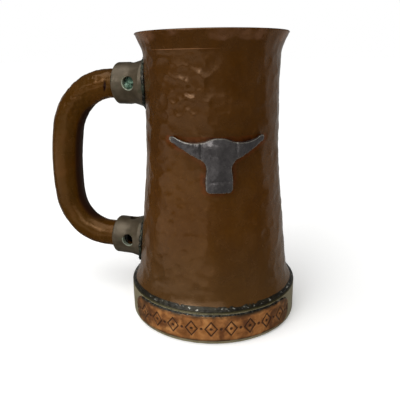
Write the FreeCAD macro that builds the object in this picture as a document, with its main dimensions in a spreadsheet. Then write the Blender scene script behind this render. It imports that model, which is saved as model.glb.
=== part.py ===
import FreeCAD, Part
import math
import os

import Sketcher
from FreeCAD import Placement, Rotation, Vector

# A heavy copper mug with a bent copper tube handle, built from separate soldered pieces.
# Millimetres. The origin is the centre of the flat base, +Z is up along the mug's axis,
# and the handle reaches out along -X. Azimuths are degrees about +Z, counted from +X.

SIZES = [
    ("ring_diameter", 101.6, "heavy ring round the base, outside"),
    ("ring_height", 19.3, "base ring, bottom to top"),
    ("ring_wall", 4.0, "base ring, wall"),
    ("ring_edge", 0.5, "rounding of the base ring's outer edges"),
    ("fit_gap", 0.1, "clearance between pieces that are soldered together"),
    ("plate_thickness", 2.0, "disc that closes the bottom, flush with the ring"),
    ("shell_wall", 1.6, "copper wall of the mug"),
    ("waist_diameter", 76.2, "narrowest part of the shell, outside"),
    ("waist_bottom", 125.0, "height where the flank has become upright"),
    ("flank_lean", 6.1, "degrees that the flank leans in"),
    ("flank_foot_diameter", 93.4, "flank's straight line, carried down to the ring's top"),
    ("flare_height", 10.6, "from the ring's top to where the shell's foot begins to flare"),
    ("flare_bend", 24.0, "hollow bend of the flared foot"),
    ("lip_start", 151.3, "height where the lip begins to turn out"),
    ("rim_diameter", 84.6, "mouth of the mug, outside"),
    ("mug_height", 163.3, "overall height"),
    ("rim_round", 0.7, "rounding of the rim's two edges"),
    ("foot_bead", 2.0, "solder on the ring's top, from there up the shell's foot"),
    ("plate_bead", 1.5, "solder fillet inside, between the disc and the ring"),
    ("plaque_bottom", 2.2, "height of the plaque's lower edge"),
    ("plaque_height", 15.3, "width of the plaque's strip"),
    ("plaque_thickness", 1.0, "plaque's strip"),
    ("plaque_arc", 119.6, "degrees of the ring that the plaque covers"),
    ("plaque_azimuth", -74.0, "middle of the plaque"),
    ("plaque_corner", 6.5, "rounding of the plaque's ends"),
    ("plaque_bead", 0.9, "solder along the plaque's top edge"),
    ("badge_azimuth", -68.2, "middle of the steer's head"),
    ("badge_bottom", 84.2, "height of the muzzle's lower edge"),
    ("badge_height", 27.8, "steer's head, muzzle to horn tips"),
    ("badge_width", 50.0, "steer's head, straight across the horn tips"),
    ("badge_thickness", 4.2, "steer's head, from its back to its face"),
    ("badge_stand_off", 0.7, "solder layer behind the steer's head"),
    ("socket_diameter", 24.4, "handle socket, outside"),
    ("socket_bore", 17.8, "handle socket, inside"),
    ("socket_chamfer", 2.0, "bevel round the socket's mouth"),
    ("socket_skirt_diameter", 28.4, "socket where it meets the shell"),
    ("socket_reach", 21.1, "socket's mouth from the shell, along its axis"),
    ("socket_flare_length", 10.5, "length of the widening next to the shell"),
    ("socket_hole_diameter", 7.4, "cross holes in a socket"),
    ("socket_hole_inset", 12.6, "cross holes from the socket's mouth"),
    ("socket_bead", 1.6, "solder round a socket, on the shell"),
    ("upper_socket_height", 136.2, "axis of the upper socket"),
    ("upper_socket_turn", 3.0, "degrees that the upper socket's front hole is turned up"),
    ("lower_socket_height", 38.2, "axis of the lower socket"),
    ("lower_socket_turn", 4.5, "degrees that the lower socket's front hole is turned up"),
    ("plug_thickness", 0.8, "solder plug in the upper socket's front hole"),
    ("handle_wall", 1.6, "handle tube's wall"),
    ("handle_upper_diameter", 17.0, "handle tube in the upper socket"),
    ("handle_middle_diameter", 19.4, "handle tube at its farthest point"),
    ("handle_lower_diameter", 16.4, "handle tube in the lower socket"),
    ("handle_grip_depth", 19.0, "how far the tube goes into a socket"),
    ("handle_hole_diameter", 6.4, "hole in the tube's lower end, behind the cross hole"),
    ("sleeve_length", 9.5, "solder between the tube's end and its socket"),
    ("sleeve_recess", 1.0, "from a socket's mouth to its solder"),
    ("handle_upper_run", 3.5, "straight tube between the upper socket and the upper bend"),
    ("handle_reach", 101.2, "centre line's farthest point from the mug's axis"),
    ("handle_upper_radius", 35.6, "upper bend"),
    ("handle_lower_radius", 27.0, "lower bend"),
    ("handle_long_radius", 151.4, "gentle bend between the two"),
]

FULL_TURN = 360.0
# Pieces drawn facing -Y are turned by this much more than their azimuth.
FRONT_TURN = 90.0
# Cutting outlines reach this far out, and this far above and below a socket's axis.
CUTTER_RADIUS = 160.0
CUTTER_HALF_HEIGHT = 22.0
# A socket is drawn in to this radius, then cut back to the shell.
ROOT_RADIUS = 28.0
# Inner cuts run this much past the solid that they open.
CUT_OVERRUN = 1.0
# Bend radii as multiples of a size nearby.
LIP_BEND = 7.5
BEAD_HOLLOW = 1.3
FLARE_BEND = 2.6
# Where the middle of a hollow bend is first drawn, as a share of its height.
BEAD_MIDDLE = 0.35
FLARE_MIDDLE = 0.3
# A cut along the flared foot runs straight between these shares of the flare's height.
FLARE_STEPS = (0.9, 0.45, 0.0)
# A socket's bevel is steep: it takes this share of its depth from the length.
BEVEL_SLOPE = 0.7
# The socket's skirt stays upright next to the shell for this share of the flare.
SKIRT_SHARE = 1 / 6
# Solder behind the steer's head, as shares of the head's width and height.
BADGE_SOLDER_WIDTH = 0.22
BADGE_SOLDER_HEIGHT = 0.8

doc = FreeCAD.newDocument("copper_mug")
sheet = doc.addObject("Spreadsheet::Sheet", "Sizes")
for row, (alias, value, note) in enumerate(SIZES, start=1):
    sheet.set(f"A{row}", alias)
    sheet.set(f"B{row}", str(value))
    sheet.set(f"C{row}", note)
    sheet.setAlias(f"B{row}", alias)
doc.recompute()


def size(alias):
    return float(sheet.get(alias))


def bind(thing, **sizes):
    """Tie properties of an object, or named dimensions of a sketch, to the sheet."""
    for name, formula in sizes.items():
        thing.setExpression(name.replace("__", "."), formula)


# Lengths that several pieces share, written once as formulas on the sheet's cells.
RING_RADIUS = "Sizes.ring_diameter / 2"
RING_BORE = "(Sizes.ring_diameter / 2 - Sizes.ring_wall)"
PLATE_RADIUS = "(Sizes.ring_diameter / 2 - Sizes.ring_wall - Sizes.fit_gap)"
PLATE_TOP = "Sizes.plate_thickness"
PLAQUE_TOP = "(Sizes.plaque_bottom + Sizes.plaque_height)"
WAIST_RADIUS = "Sizes.waist_diameter / 2"
LEAN = "tan(Sizes.flank_lean * 1 deg)"
# The straight flank and the upright waist would meet at this height; a tangent arc joins them.
FLANK_MEETS_WAIST = f"(Sizes.ring_height + (Sizes.flank_foot_diameter / 2 - {WAIST_RADIUS}) / {LEAN})"
FLANK_BEND = f"((Sizes.waist_bottom - {FLANK_MEETS_WAIST}) / tan(Sizes.flank_lean / 2 * 1 deg))"


def flank_radius(height):
    """Formula for the shell's outer radius at a height on its straight, leaning flank."""
    return f"(Sizes.flank_foot_diameter / 2 - ({height} - Sizes.ring_height) * {LEAN})"


# The foot flares out along an arc that starts tangent to the flank; this is the arc's centre.
FLARE_TOP = "(Sizes.ring_height + Sizes.flare_height)"
FLARE_ACROSS = f"({flank_radius(FLARE_TOP)} + Sizes.flare_bend * cos(Sizes.flank_lean * 1 deg))"
FLARE_UP = f"({FLARE_TOP} + Sizes.flare_bend * sin(Sizes.flank_lean * 1 deg))"


def flare_radius(height):
    """Formula for the shell's outer radius at a height on its flared foot."""
    return f"({FLARE_ACROSS} - sqrt(Sizes.flare_bend ^ 2 - ({FLARE_UP} - ({height})) ^ 2))"


SHELL_BOTTOM = "(Sizes.ring_height + Sizes.fit_gap)"


# ---- helpers for sketches -------------------------------------------------------------

def new_body(label):
    body = doc.addObject("PartDesign::Body", label)
    body.Label = label
    return body


def origin_plane(body, role):
    return next(item for item in body.Origin.OriginFeatures if item.Role == role)


def new_sketch(body, name, role, offset=None):
    """A sketch on one of the body's own origin planes, moved by an offset in that plane's frame."""
    sketch = body.newObject("Sketcher::SketchObject", name)
    sketch.AttachmentSupport = [(origin_plane(body, role), "")]
    sketch.MapMode = "FlatFace"
    if offset is not None:
        sketch.AttachmentOffset = offset
    return sketch


def join_ends(sketch, first, second, kind="Coincident"):
    """Make the two nearest end points of two edges one point, smoothly if kind is Tangent."""
    pairs = [(a, b) for a in (1, 2) for b in (1, 2)]

    def gap(pair):
        return sketch.getPoint(first, pair[0]).distanceToPoint(sketch.getPoint(second, pair[1]))

    near = min(pairs, key=gap)
    sketch.addConstraint(Sketcher.Constraint(kind, first, near[0], second, near[1]))


def draw_chain(sketch, edges, closed=True, smooth=()):
    """Add edges end to end and return their numbers; those in smooth run tangent into the next."""
    numbers = [sketch.addGeometry(edge, False) for edge in edges]
    for first, second in zip(numbers, numbers[1:]):
        join_ends(sketch, first, second, "Tangent" if first in smooth else "Coincident")
    if closed:
        join_ends(sketch, numbers[-1], numbers[0])
    return numbers


def line(start, end):
    return Part.LineSegment(Vector(*start, 0), Vector(*end, 0))


def arc(start, middle, end):
    return Part.Arc(Vector(*start, 0), Vector(*middle, 0), Vector(*end, 0))


def dimension(sketch, name, kind, where, formula):
    """Add a named dimension to a sketch and tie it to a formula."""
    number = sketch.addConstraint(Sketcher.Constraint(kind, *where))
    sketch.renameConstraint(number, name)
    sketch.setExpression(f"Constraints.{name}", formula)


def place_point(sketch, name, edge, end, across, up):
    """Hold one end of an edge at two formulas, measured from the sketch's origin."""
    point = sketch.getPoint(edge, end)
    dimension(sketch, f"{name}_across", "DistanceX", (-1, 1, edge, end, point.x), across)
    dimension(sketch, f"{name}_up", "DistanceY", (-1, 1, edge, end, point.y), up)


def draw_polygon(sketch, corners):
    """Closed straight outline whose corners are pairs of formulas: across, up."""
    values = [tuple(evaluate(formula) for formula in corner) for corner in corners]
    edges = [line(a, b) for a, b in zip(values, values[1:] + values[:1])]
    numbers = draw_chain(sketch, edges)
    for number, (across, up) in zip(numbers, corners):
        place_point(sketch, f"corner{number}", number, 1, across, up)


def evaluate(formula):
    """Value of a formula on the sheet, as a plain number."""
    result = sheet.evalExpression(str(formula))
    return float(getattr(result, "Value", result))


def draw_circle(sketch, name, across, up, diameter):
    centre = Vector(evaluate(across), evaluate(up), 0)
    radius = evaluate(diameter) / 2
    number = sketch.addGeometry(Part.Circle(centre, Vector(0, 0, 1), radius), False)
    dimension(sketch, f"{name}_across", "DistanceX", (-1, 1, number, 3, centre.x), across)
    dimension(sketch, f"{name}_up", "DistanceY", (-1, 1, number, 3, centre.y), up)
    dimension(sketch, f"{name}_diameter", "Diameter", (number, 2 * radius), diameter)


def revolve(body, kind, name, sketch, axis="V_Axis", angle=None):
    """PartDesign Revolution or Groove about an axis of its sketch."""
    feature = body.newObject(f"PartDesign::{kind}", name)
    feature.Profile = sketch
    feature.ReferenceAxis = (sketch, [axis])
    feature.Angle = FULL_TURN
    if angle is not None:
        feature.Midplane = True
        bind(feature, Angle=angle)
    return feature


def edge_names(feature, wanted):
    """Names of the edges of a finished feature that pass a test."""
    return [f"Edge{i}" for i, edge in enumerate(feature.Shape.Edges, start=1) if wanted(edge)]


def round_edges(body, name, feature, edges, radius):
    rounding = body.newObject("PartDesign::Fillet", name)
    rounding.Base = (feature, edges)
    bind(rounding, Radius=radius)
    return rounding


# ---- the mug's shell, ring and bottom -------------------------------------------------

def make_body_shell():
    """Seamless copper tube: foot flared out over the ring, leaning flank, waist, turned-out lip."""
    body = new_body("body_shell")
    sketch = new_sketch(body, "shell_profile", "XZ_Plane")
    bottom, flare_top = evaluate(SHELL_BOTTOM), evaluate(FLARE_TOP)
    foot, flare_middle, flank_foot = (
        evaluate(flare_radius(z)) for z in (bottom, (bottom + flare_top) / 2, flare_top))
    waist = evaluate(WAIST_RADIUS)
    rim = size("rim_diameter") / 2
    lean = math.radians(size("flank_lean"))
    waist_bottom = size("waist_bottom")
    lip_start = size("lip_start")
    top = size("mug_height")
    bend = evaluate(FLANK_BEND)
    lip_formula = f"Sizes.shell_wall * {LIP_BEND}"
    lip_radius = evaluate(lip_formula)
    # How far the lip turns: the tangent from the rim's point to the lip's bend.
    across, up = rim - waist - lip_radius, top - lip_start
    lip_turn = math.pi - math.atan2(up, across) - math.acos(lip_radius / math.hypot(across, up))

    def on_bend(turn):
        return (waist + bend * (1 - math.cos(turn)), waist_bottom - bend * math.sin(turn))

    def on_lip(turn):
        return (waist + lip_radius * (1 - math.cos(turn)), lip_start + lip_radius * math.sin(turn))

    flare, flank, flank_bend, waist_line, lip_bend = 0, 1, 2, 3, 4
    numbers = draw_chain(sketch, [
        arc((foot, bottom), (flare_middle, (bottom + flare_top) / 2), (flank_foot, flare_top)),
        line((flank_foot, flare_top), on_bend(lean)),
        arc(on_bend(lean), on_bend(lean / 2), (waist, waist_bottom)),
        line((waist, waist_bottom), (waist, lip_start)),
        arc((waist, lip_start), on_lip(lip_turn / 2), on_lip(lip_turn)),
        line(on_lip(lip_turn), (rim, top)),
        line((rim, top), (0, top)),
        line((0, top), (0, bottom)),
        line((0, bottom), (foot, bottom)),
    ], smooth=(flare, flank, flank_bend, waist_line, lip_bend))
    lip, rim_line, axis, bottom_line = numbers[5:]
    for upright in (waist_line, axis):
        sketch.addConstraint(Sketcher.Constraint("Vertical", upright))
    for level in (rim_line, bottom_line):
        sketch.addConstraint(Sketcher.Constraint("Horizontal", level))
    sketch.addConstraint(Sketcher.Constraint("PointOnObject", axis, 1, -2))
    dimension(sketch, "bottom", "DistanceY", (-1, 1, bottom_line, 1, bottom), SHELL_BOTTOM)
    dimension(sketch, "flare_bend", "Radius", (flare, size("flare_bend")), "Sizes.flare_bend")
    place_point(sketch, "flare_top", flank, 1, flank_radius(FLARE_TOP), FLARE_TOP)
    dimension(sketch, "lean", "Angle", (flank, math.pi / 2 + lean), "(90 + Sizes.flank_lean) * 1 deg")
    place_point(sketch, "waist", waist_line, 1, WAIST_RADIUS, "Sizes.waist_bottom")
    dimension(sketch, "lip_start", "DistanceY", (-1, 1, waist_line, 2, lip_start), "Sizes.lip_start")
    dimension(sketch, "lip_bend", "Radius", (lip_bend, lip_radius), lip_formula)
    place_point(sketch, "rim", lip, 2, "Sizes.rim_diameter / 2", "Sizes.mug_height")
    solid = revolve(body, "Revolution", "shell_solid", sketch)
    doc.recompute()

    ends = [
        f"Face{i}" for i, face in enumerate(solid.Shape.Faces, start=1)
        if isinstance(face.Surface, Part.Plane)
        and min(abs(face.CenterOfMass.z - z) for z in (bottom, top)) < 0.01
    ]
    hollow = body.newObject("PartDesign::Thickness", "shell_hollow")
    hollow.Base = (solid, ends)
    hollow.Reversed = True
    bind(hollow, Value="Sizes.shell_wall")
    doc.recompute()
    rim_edges = edge_names(hollow, lambda edge: edge.BoundBox.ZMin > top - 0.01)
    round_edges(body, "rim_rounding", hollow, rim_edges, "Sizes.rim_round")
    return body


def make_base_ring():
    """Heavy brass ring that the shell's foot stands on."""
    body = new_body("base_ring")
    sketch = new_sketch(body, "ring_outline", "XY_Plane")
    draw_circle(sketch, "outside", "0", "0", "Sizes.ring_diameter")
    draw_circle(sketch, "bore", "0", "0", f"{RING_BORE} * 2")
    pad = body.newObject("PartDesign::Pad", "ring_solid")
    pad.Profile = sketch
    bind(pad, Length="Sizes.ring_height")
    doc.recompute()
    outside = size("ring_diameter") / 2
    outer_edges = edge_names(
        pad, lambda edge: isinstance(edge.Curve, Part.Circle) and abs(edge.Curve.Radius - outside) < 0.01)
    round_edges(body, "ring_rounding", pad, outer_edges, "Sizes.ring_edge")
    return body


def make_base_plate():
    """Copper disc that closes the bottom, inside the ring."""
    plate = doc.addObject("Part::Cylinder", "base_plate")
    plate.Label = "base_plate"
    bind(plate, Radius=PLATE_RADIUS, Height=PLATE_TOP)
    return plate


def make_plate_solder():
    """Solder fillet inside, in the corner of the disc and the ring: two legs and a hollow face."""
    body = new_body("base_plate_solder")
    sketch = new_sketch(body, "plate_solder_section", "XZ_Plane")
    leg = "Sizes.plate_bead"
    corner = f"({RING_BORE} - Sizes.fit_gap)"
    x, y, reach = evaluate(corner), evaluate(PLATE_TOP), evaluate(leg)
    middle = (x - reach * BEAD_MIDDLE, y + reach * BEAD_MIDDLE)
    level, face, upright = draw_chain(sketch, [
        line((x, y), (x - reach, y)),
        arc((x - reach, y), middle, (x, y + reach)),
        line((x, y + reach), (x, y)),
    ])
    place_point(sketch, "corner", level, 1, corner, PLATE_TOP)
    place_point(sketch, "toe", level, 2, f"{corner} - {leg}", PLATE_TOP)
    place_point(sketch, "top", upright, 1, corner, f"{PLATE_TOP} + {leg}")
    dimension(sketch, "hollow", "Radius", (face, reach * BEAD_HOLLOW), f"{leg} * {BEAD_HOLLOW}")
    revolve(body, "Revolution", "plate_solder_solid", sketch)
    return body


def make_foot_solder():
    """Solder on the ring's top, from its rounded edge up the shell's flared foot."""
    body = new_body("foot_solder")
    sketch = new_sketch(body, "foot_solder_section", "XZ_Plane")
    bottom, top = "Sizes.ring_height", "(Sizes.ring_height + Sizes.foot_bead)"
    draw_polygon(sketch, [
        (f"{flare_radius(bottom)} + Sizes.fit_gap", bottom),
        (f"{RING_RADIUS} - Sizes.ring_edge", bottom),
        (f"{flare_radius(top)} + Sizes.fit_gap", top),
    ])
    revolve(body, "Revolution", "foot_solder_solid", sketch)
    return body


# ---- the plaque on the ring and the steer's head on the shell ---------------------------

def make_base_plaque():
    """Copper strip with rounded ends, bent round the front of the ring."""
    body = new_body("base_plaque")
    sketch = new_sketch(body, "plaque_section", "XZ_Plane")
    inner = f"{RING_RADIUS} + Sizes.fit_gap"
    outer = f"{inner} + Sizes.plaque_thickness"
    draw_polygon(sketch, [
        (inner, "Sizes.plaque_bottom"),
        (outer, "Sizes.plaque_bottom"),
        (outer, PLAQUE_TOP),
        (inner, PLAQUE_TOP),
    ])
    strip = revolve(body, "Revolution", "plaque_strip", sketch, angle="Sizes.plaque_arc")
    doc.recompute()
    thickness = size("plaque_thickness")
    corners = edge_names(
        strip, lambda edge: isinstance(edge.Curve, Part.Line) and abs(edge.Length - thickness) < 0.01)
    round_edges(body, "plaque_ends", strip, corners, "Sizes.plaque_corner")
    return body


def make_plaque_solder():
    """Thin, flat-faced bead along the plaque's top edge, between its rounded ends."""
    body = new_body("plaque_solder")
    sketch = new_sketch(body, "plaque_solder_section", "XZ_Plane")
    inner = f"{RING_RADIUS} + Sizes.fit_gap"
    draw_polygon(sketch, [
        (inner, PLAQUE_TOP),
        (f"{inner} + Sizes.plaque_bead", PLAQUE_TOP),
        (inner, f"{PLAQUE_TOP} + Sizes.plaque_bead"),
    ])
    rounded_end = f"(Sizes.plaque_corner / ({RING_RADIUS}) * 180 / pi)"
    angle = f"Sizes.plaque_arc - 2 * {rounded_end}"
    revolve(body, "Revolution", "plaque_solder_solid", sketch, angle=angle)
    return body


def badge_outline():
    """Half the front view of a steer's head: arcs from the poll, round a horn, down to the chin.

    Each arc is start, middle, end. Points are fractions of the badge: across from its middle
    (1 is a horn's tip), and up from the chin (1 is the top of the horns).
    """
    poll, poll_side, crown = (0, 0.99), (0.10, 0.985), (0.17, 0.97)
    horn_dip, horn_top = (0.46, 0.905), (0.90, 0.99)
    tip, tip_under = (1.0, 0.96), (0.93, 0.88)
    horn_under, horn_root = (0.64, 0.735), (0.36, 0.61)
    temple, cheek = (0.275, 0.52), (0.26, 0.36)
    muzzle, lip = (0.275, 0.22), (0.27, 0.10)
    chin_corner, chin = (0.245, 0.02), (0.17, 0.0)
    return [
        (poll, poll_side, crown),
        (crown, horn_dip, horn_top),
        (horn_top, tip, tip_under),
        (tip_under, horn_under, horn_root),
        (horn_root, temple, cheek),
        (cheek, muzzle, lip),
        (lip, chin_corner, chin),
    ]


def cone_cutter(sketch, wall, outside):
    """Outline, turned about the mug's axis, of what lies inside or outside a wall's points."""
    far = f"{CUTTER_RADIUS}" if outside else "0"
    draw_polygon(sketch, [(far, wall[0][1]), *wall, (far, wall[-1][1])])


def bend_radius(height):
    """Formula for the shell's outer radius on the long bend between the flank and the waist."""
    drop = f"(Sizes.waist_bottom - ({height}))"
    return f"({WAIST_RADIUS} + {FLANK_BEND} - sqrt({FLANK_BEND} ^ 2 - {drop} ^ 2))"


def make_badge():
    """Cast steer's head, curved to the shell behind and in front."""
    body = new_body("steer_head_badge")
    sketch = new_sketch(body, "badge_front", "XZ_Plane")
    half = size("badge_width") / 2
    height = size("badge_height")
    bottom = size("badge_bottom")
    right = [[(x * half, bottom + y * height) for x, y in points] for points in badge_outline()]
    left = [[(-x, y) for x, y in reversed(points)] for points in reversed(right)]
    chin = line(right[-1][-1], left[0][0])
    draw_chain(sketch, [arc(*points) for points in right] + [chin] + [arc(*points) for points in left])
    pad = body.newObject("PartDesign::Pad", "badge_block")
    pad.Profile = sketch
    bind(pad, Length="Sizes.waist_diameter")

    ends = (f"(Sizes.badge_bottom - {CUT_OVERRUN})",
            f"(Sizes.badge_bottom + Sizes.badge_height + {CUT_OVERRUN})")
    back = [(f"({bend_radius(end)} + Sizes.badge_stand_off)", end) for end in ends]
    inside = new_sketch(body, "badge_back", "XZ_Plane")
    cone_cutter(inside, back, outside=False)
    revolve(body, "Groove", "badge_hollow", inside)
    front = [(f"{radius} + Sizes.badge_thickness", end) for radius, end in back]
    beyond = new_sketch(body, "badge_face", "XZ_Plane")
    cone_cutter(beyond, front, outside=True)
    revolve(body, "Groove", "badge_front_cut", beyond)
    return body


def make_badge_solder():
    """Layer of solder between the shell and the steer's head, under the skull only."""
    pad = doc.addObject("Part::Box", "badge_solder_block")
    width = f"Sizes.badge_width * {BADGE_SOLDER_WIDTH}"
    height = f"Sizes.badge_height * {BADGE_SOLDER_HEIGHT}"
    bind(pad, Length=width, Width="Sizes.waist_diameter", Height=height,
         Placement__Base__x=f"-({width}) / 2", Placement__Base__y="-Sizes.waist_diameter",
         Placement__Base__z=f"Sizes.badge_bottom + (Sizes.badge_height - {height}) / 2")
    low, high = "Sizes.badge_bottom", "Sizes.badge_bottom + Sizes.badge_height"
    offsets = {"outside": "Sizes.badge_stand_off - Sizes.fit_gap", "inside": "2 * Sizes.fit_gap"}
    shells = []
    for name, offset in offsets.items():
        cone = doc.addObject("Part::Cone", f"badge_solder_{name}")
        bind(cone, Radius1=f"{bend_radius(low)} + {offset}", Radius2=f"{bend_radius(high)} + {offset}",
             Height="Sizes.badge_height", Placement__Base__z="Sizes.badge_bottom")
        shells.append(cone)
    layer = doc.addObject("Part::Cut", "badge_solder_layer")
    layer.Base, layer.Tool = shells
    solder = doc.addObject("Part::Common", "badge_solder")
    solder.Label = "badge_solder"
    solder.Base, solder.Tool = layer, pad
    return solder


# ---- sockets and handle -----------------------------------------------------------------

def wall_formula(place, height):
    """Formula for the shell's outer radius beside a socket: the waist above, the flank below."""
    return WAIST_RADIUS if place == "upper" else flank_radius(height)


def mouth_formula(place):
    return f"({wall_formula(place, f'Sizes.{place}_socket_height')} + Sizes.socket_reach)"


def beside_wall(place, gap):
    """Points beside the shell at a gap, from below a socket to above it, measured from its axis."""
    axis = f"Sizes.{place}_socket_height"
    above = f"({axis} + {CUTTER_HALF_HEIGHT})"
    below = f"({axis} - {CUTTER_HALF_HEIGHT})"
    wall = [(wall_formula(place, height), height) for height in (below, above)]
    if place == "lower":
        on_flare = [f"({FLARE_TOP} - Sizes.flare_height * {share})" for share in FLARE_STEPS]
        wall[:1] = [(flare_radius(height), height) for height in on_flare]
    return [(f"{radius} + {gap}", f"{height} - {axis}") for radius, height in wall]


def cut_saddle(body, place, gap):
    """Cut the inner end of a piece to the shell's surface."""
    sketch = new_sketch(body, f"{body.Label}_saddle", "XZ_Plane")
    cone_cutter(sketch, beside_wall(place, gap), outside=False)
    revolve(body, "Groove", f"{body.Label}_saddle_cut", sketch)


def make_socket(place):
    """Cast bronze socket: bored through, bevelled mouth, four cross holes, skirt fitted to the shell."""
    body = new_body(f"{place}_socket")
    sketch = new_sketch(body, f"{place}_socket_profile", "XZ_Plane")
    mouth = mouth_formula(place)
    bore = "Sizes.socket_bore / 2"
    outside = "Sizes.socket_diameter / 2"
    skirt = "Sizes.socket_skirt_diameter / 2"
    flare_outer = f"{mouth} - Sizes.socket_reach + Sizes.socket_flare_length"
    flare_inner = f"{mouth} - Sizes.socket_reach + Sizes.socket_flare_length * {SKIRT_SHARE}"
    corners = [
        (f"-({mouth})", bore),
        (f"-({mouth})", f"{outside} - Sizes.socket_chamfer"),
        (f"-({mouth} - Sizes.socket_chamfer * {BEVEL_SLOPE})", outside),
        (f"-({flare_outer})", outside),
        (f"-({flare_inner})", skirt),
        (f"-{ROOT_RADIUS}", skirt),
        (f"-{ROOT_RADIUS}", bore),
    ]
    points = [tuple(evaluate(formula) for formula in corner) for corner in corners]
    edges = [line(a, b) for a, b in zip(points, points[1:] + points[:1])]
    flare_start, flare_end = points[3], points[4]
    sag = (flare_end[1] - flare_start[1]) * FLARE_MIDDLE
    middle = ((flare_start[0] + flare_end[0]) / 2, flare_start[1] + sag)
    edges[3] = arc(flare_start, middle, flare_end)
    numbers = draw_chain(sketch, edges)
    for number, (across, up) in zip(numbers, corners):
        if number != numbers[3]:
            place_point(sketch, f"corner{number}", number, 1, across, up)
    place_point(sketch, "flare", numbers[2], 2, *corners[3])
    flare_radius = f"Sizes.socket_flare_length * {FLARE_BEND}"
    dimension(sketch, "flare_bend", "Radius", (numbers[3], evaluate(flare_radius)), flare_radius)
    revolve(body, "Revolution", f"{place}_socket_solid", sketch, axis="H_Axis")
    cut_saddle(body, place, "Sizes.fit_gap")
    doc.recompute()

    before = body.Shape.Volume
    turn = Placement(Vector(), Rotation(Vector(1, 0, 0), -size(f"{place}_socket_turn")))
    for role in ("XZ_Plane", "XY_Plane"):
        hole_sketch = new_sketch(body, f"{place}_hole_{role[:2]}", role, turn)
        across = f"-({mouth} - Sizes.socket_hole_inset)"
        draw_circle(hole_sketch, "hole", across, "0", "Sizes.socket_hole_diameter")
        hole = body.newObject("PartDesign::Pocket", f"{place}_holes_{role[:2]}")
        hole.Profile = hole_sketch
        hole.Midplane = True
        bind(hole, Length="Sizes.socket_skirt_diameter * 2")
        doc.recompute()
        assert body.Shape.Volume < before - 1, f"cross holes missing in {body.Label}"
        before = body.Shape.Volume
    bind(body, Placement__Base__z=f"Sizes.{place}_socket_height")
    return body


def make_socket_solder(place):
    """Ring of solder that lies on the shell round a socket's skirt."""
    body = new_body(f"{place}_socket_solder")
    sketch = new_sketch(body, f"{body.Label}_ring", "YZ_Plane")
    inner = "Sizes.socket_skirt_diameter + 2 * Sizes.fit_gap"
    draw_circle(sketch, "inside", "0", "0", inner)
    draw_circle(sketch, "outside", "0", "0", f"{inner} + 2 * Sizes.socket_bead")
    pad = body.newObject("PartDesign::Pad", f"{body.Label}_solid")
    pad.Profile = sketch
    pad.Reversed = True
    bind(pad, Length=mouth_formula(place))
    cut_saddle(body, place, "Sizes.fit_gap")
    beyond = new_sketch(body, f"{body.Label}_face", "XZ_Plane")
    thickness = "Sizes.fit_gap + Sizes.socket_bead"
    cone_cutter(beyond, beside_wall(place, thickness), outside=True)
    revolve(body, "Groove", f"{body.Label}_face_cut", beyond)
    bind(body, Placement__Base__z=f"Sizes.{place}_socket_height")
    return body


def circle_touch(centre, outer_centre, outer_radius):
    """Where a circle inside a larger one touches it from within."""
    across, up = centre[0] - outer_centre[0], centre[1] - outer_centre[1]
    scale = outer_radius / math.hypot(across, up)
    return (outer_centre[0] + across * scale, outer_centre[1] + up * scale)


def bend(centre, radius, start, end):
    """Arc between two points of a circle, the short way round."""
    across = (start[0] + end[0]) / 2 - centre[0]
    up = (start[1] + end[1]) / 2 - centre[1]
    scale = radius / math.hypot(across, up)
    return arc(start, (centre[0] + across * scale, centre[1] + up * scale), end)


def handle_route():
    """Centre line of the handle in the XZ plane, and the point where it is farthest out.

    Straight out of the upper socket, upper bend, long gentle bend, lower bend, and straight
    into the lower socket. Both end bends lie inside the long bend's circle and touch it.
    """
    top, bottom = size("upper_socket_height"), size("lower_socket_height")
    upper, lower, long = (size(f"handle_{name}_radius") for name in ("upper", "lower", "long"))
    reach = size("handle_reach")
    start = (-evaluate(mouth_formula("upper")), top)
    end = (-evaluate(mouth_formula("lower")), bottom)
    upper_centre = (start[0] - size("handle_upper_run"), top - upper)
    long_across = long - reach
    rise = math.sqrt((long - upper) ** 2 - (upper_centre[0] - long_across) ** 2)
    long_centre = (long_across, upper_centre[1] - rise)
    lower_up = bottom + lower
    run = math.sqrt((long - lower) ** 2 - (long_centre[1] - lower_up) ** 2)
    lower_centre = (long_across - run, lower_up)

    upper_start = (upper_centre[0], top)
    upper_end = circle_touch(upper_centre, long_centre, long)
    farthest = (-reach, long_centre[1])
    lower_start = circle_touch(lower_centre, long_centre, long)
    lower_end = (lower_centre[0], bottom)
    edges = [
        line(start, upper_start),
        bend(upper_centre, upper, upper_start, upper_end),
        bend(long_centre, long, upper_end, farthest),
        bend(long_centre, long, farthest, lower_start),
        bend(lower_centre, lower, lower_start, lower_end),
        line(lower_end, end),
    ]
    return edges, farthest


def handle_section(body, layer, place, farthest, take):
    """Round section of the handle: at a mouth it faces along X, at the farthest point along Z."""
    name = f"handle_{layer}_{place}"
    diameter = f"Sizes.handle_{place}_diameter - {take}"
    if place == "middle":
        sketch = new_sketch(body, name, "XY_Plane", Placement(Vector(0, 0, farthest[1]), Rotation()))
        draw_circle(sketch, name, "-Sizes.handle_reach", "0", diameter)
        return sketch
    mouth = evaluate(mouth_formula(place))
    sketch = new_sketch(body, name, "YZ_Plane", Placement(Vector(0, 0, -mouth), Rotation()))
    draw_circle(sketch, name, "0", f"Sizes.{place}_socket_height", diameter)
    return sketch


def run_pipe(body, kind, name, route, sections):
    """PartDesign pipe along the route through its sections."""
    pipe = body.newObject(f"PartDesign::{kind}", name)
    pipe.Profile = sections[0]
    pipe.Spine = (route, [])
    pipe.Transformation = "Multisection"
    pipe.Sections = [(item, [""]) for item in sections[1:]]


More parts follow.
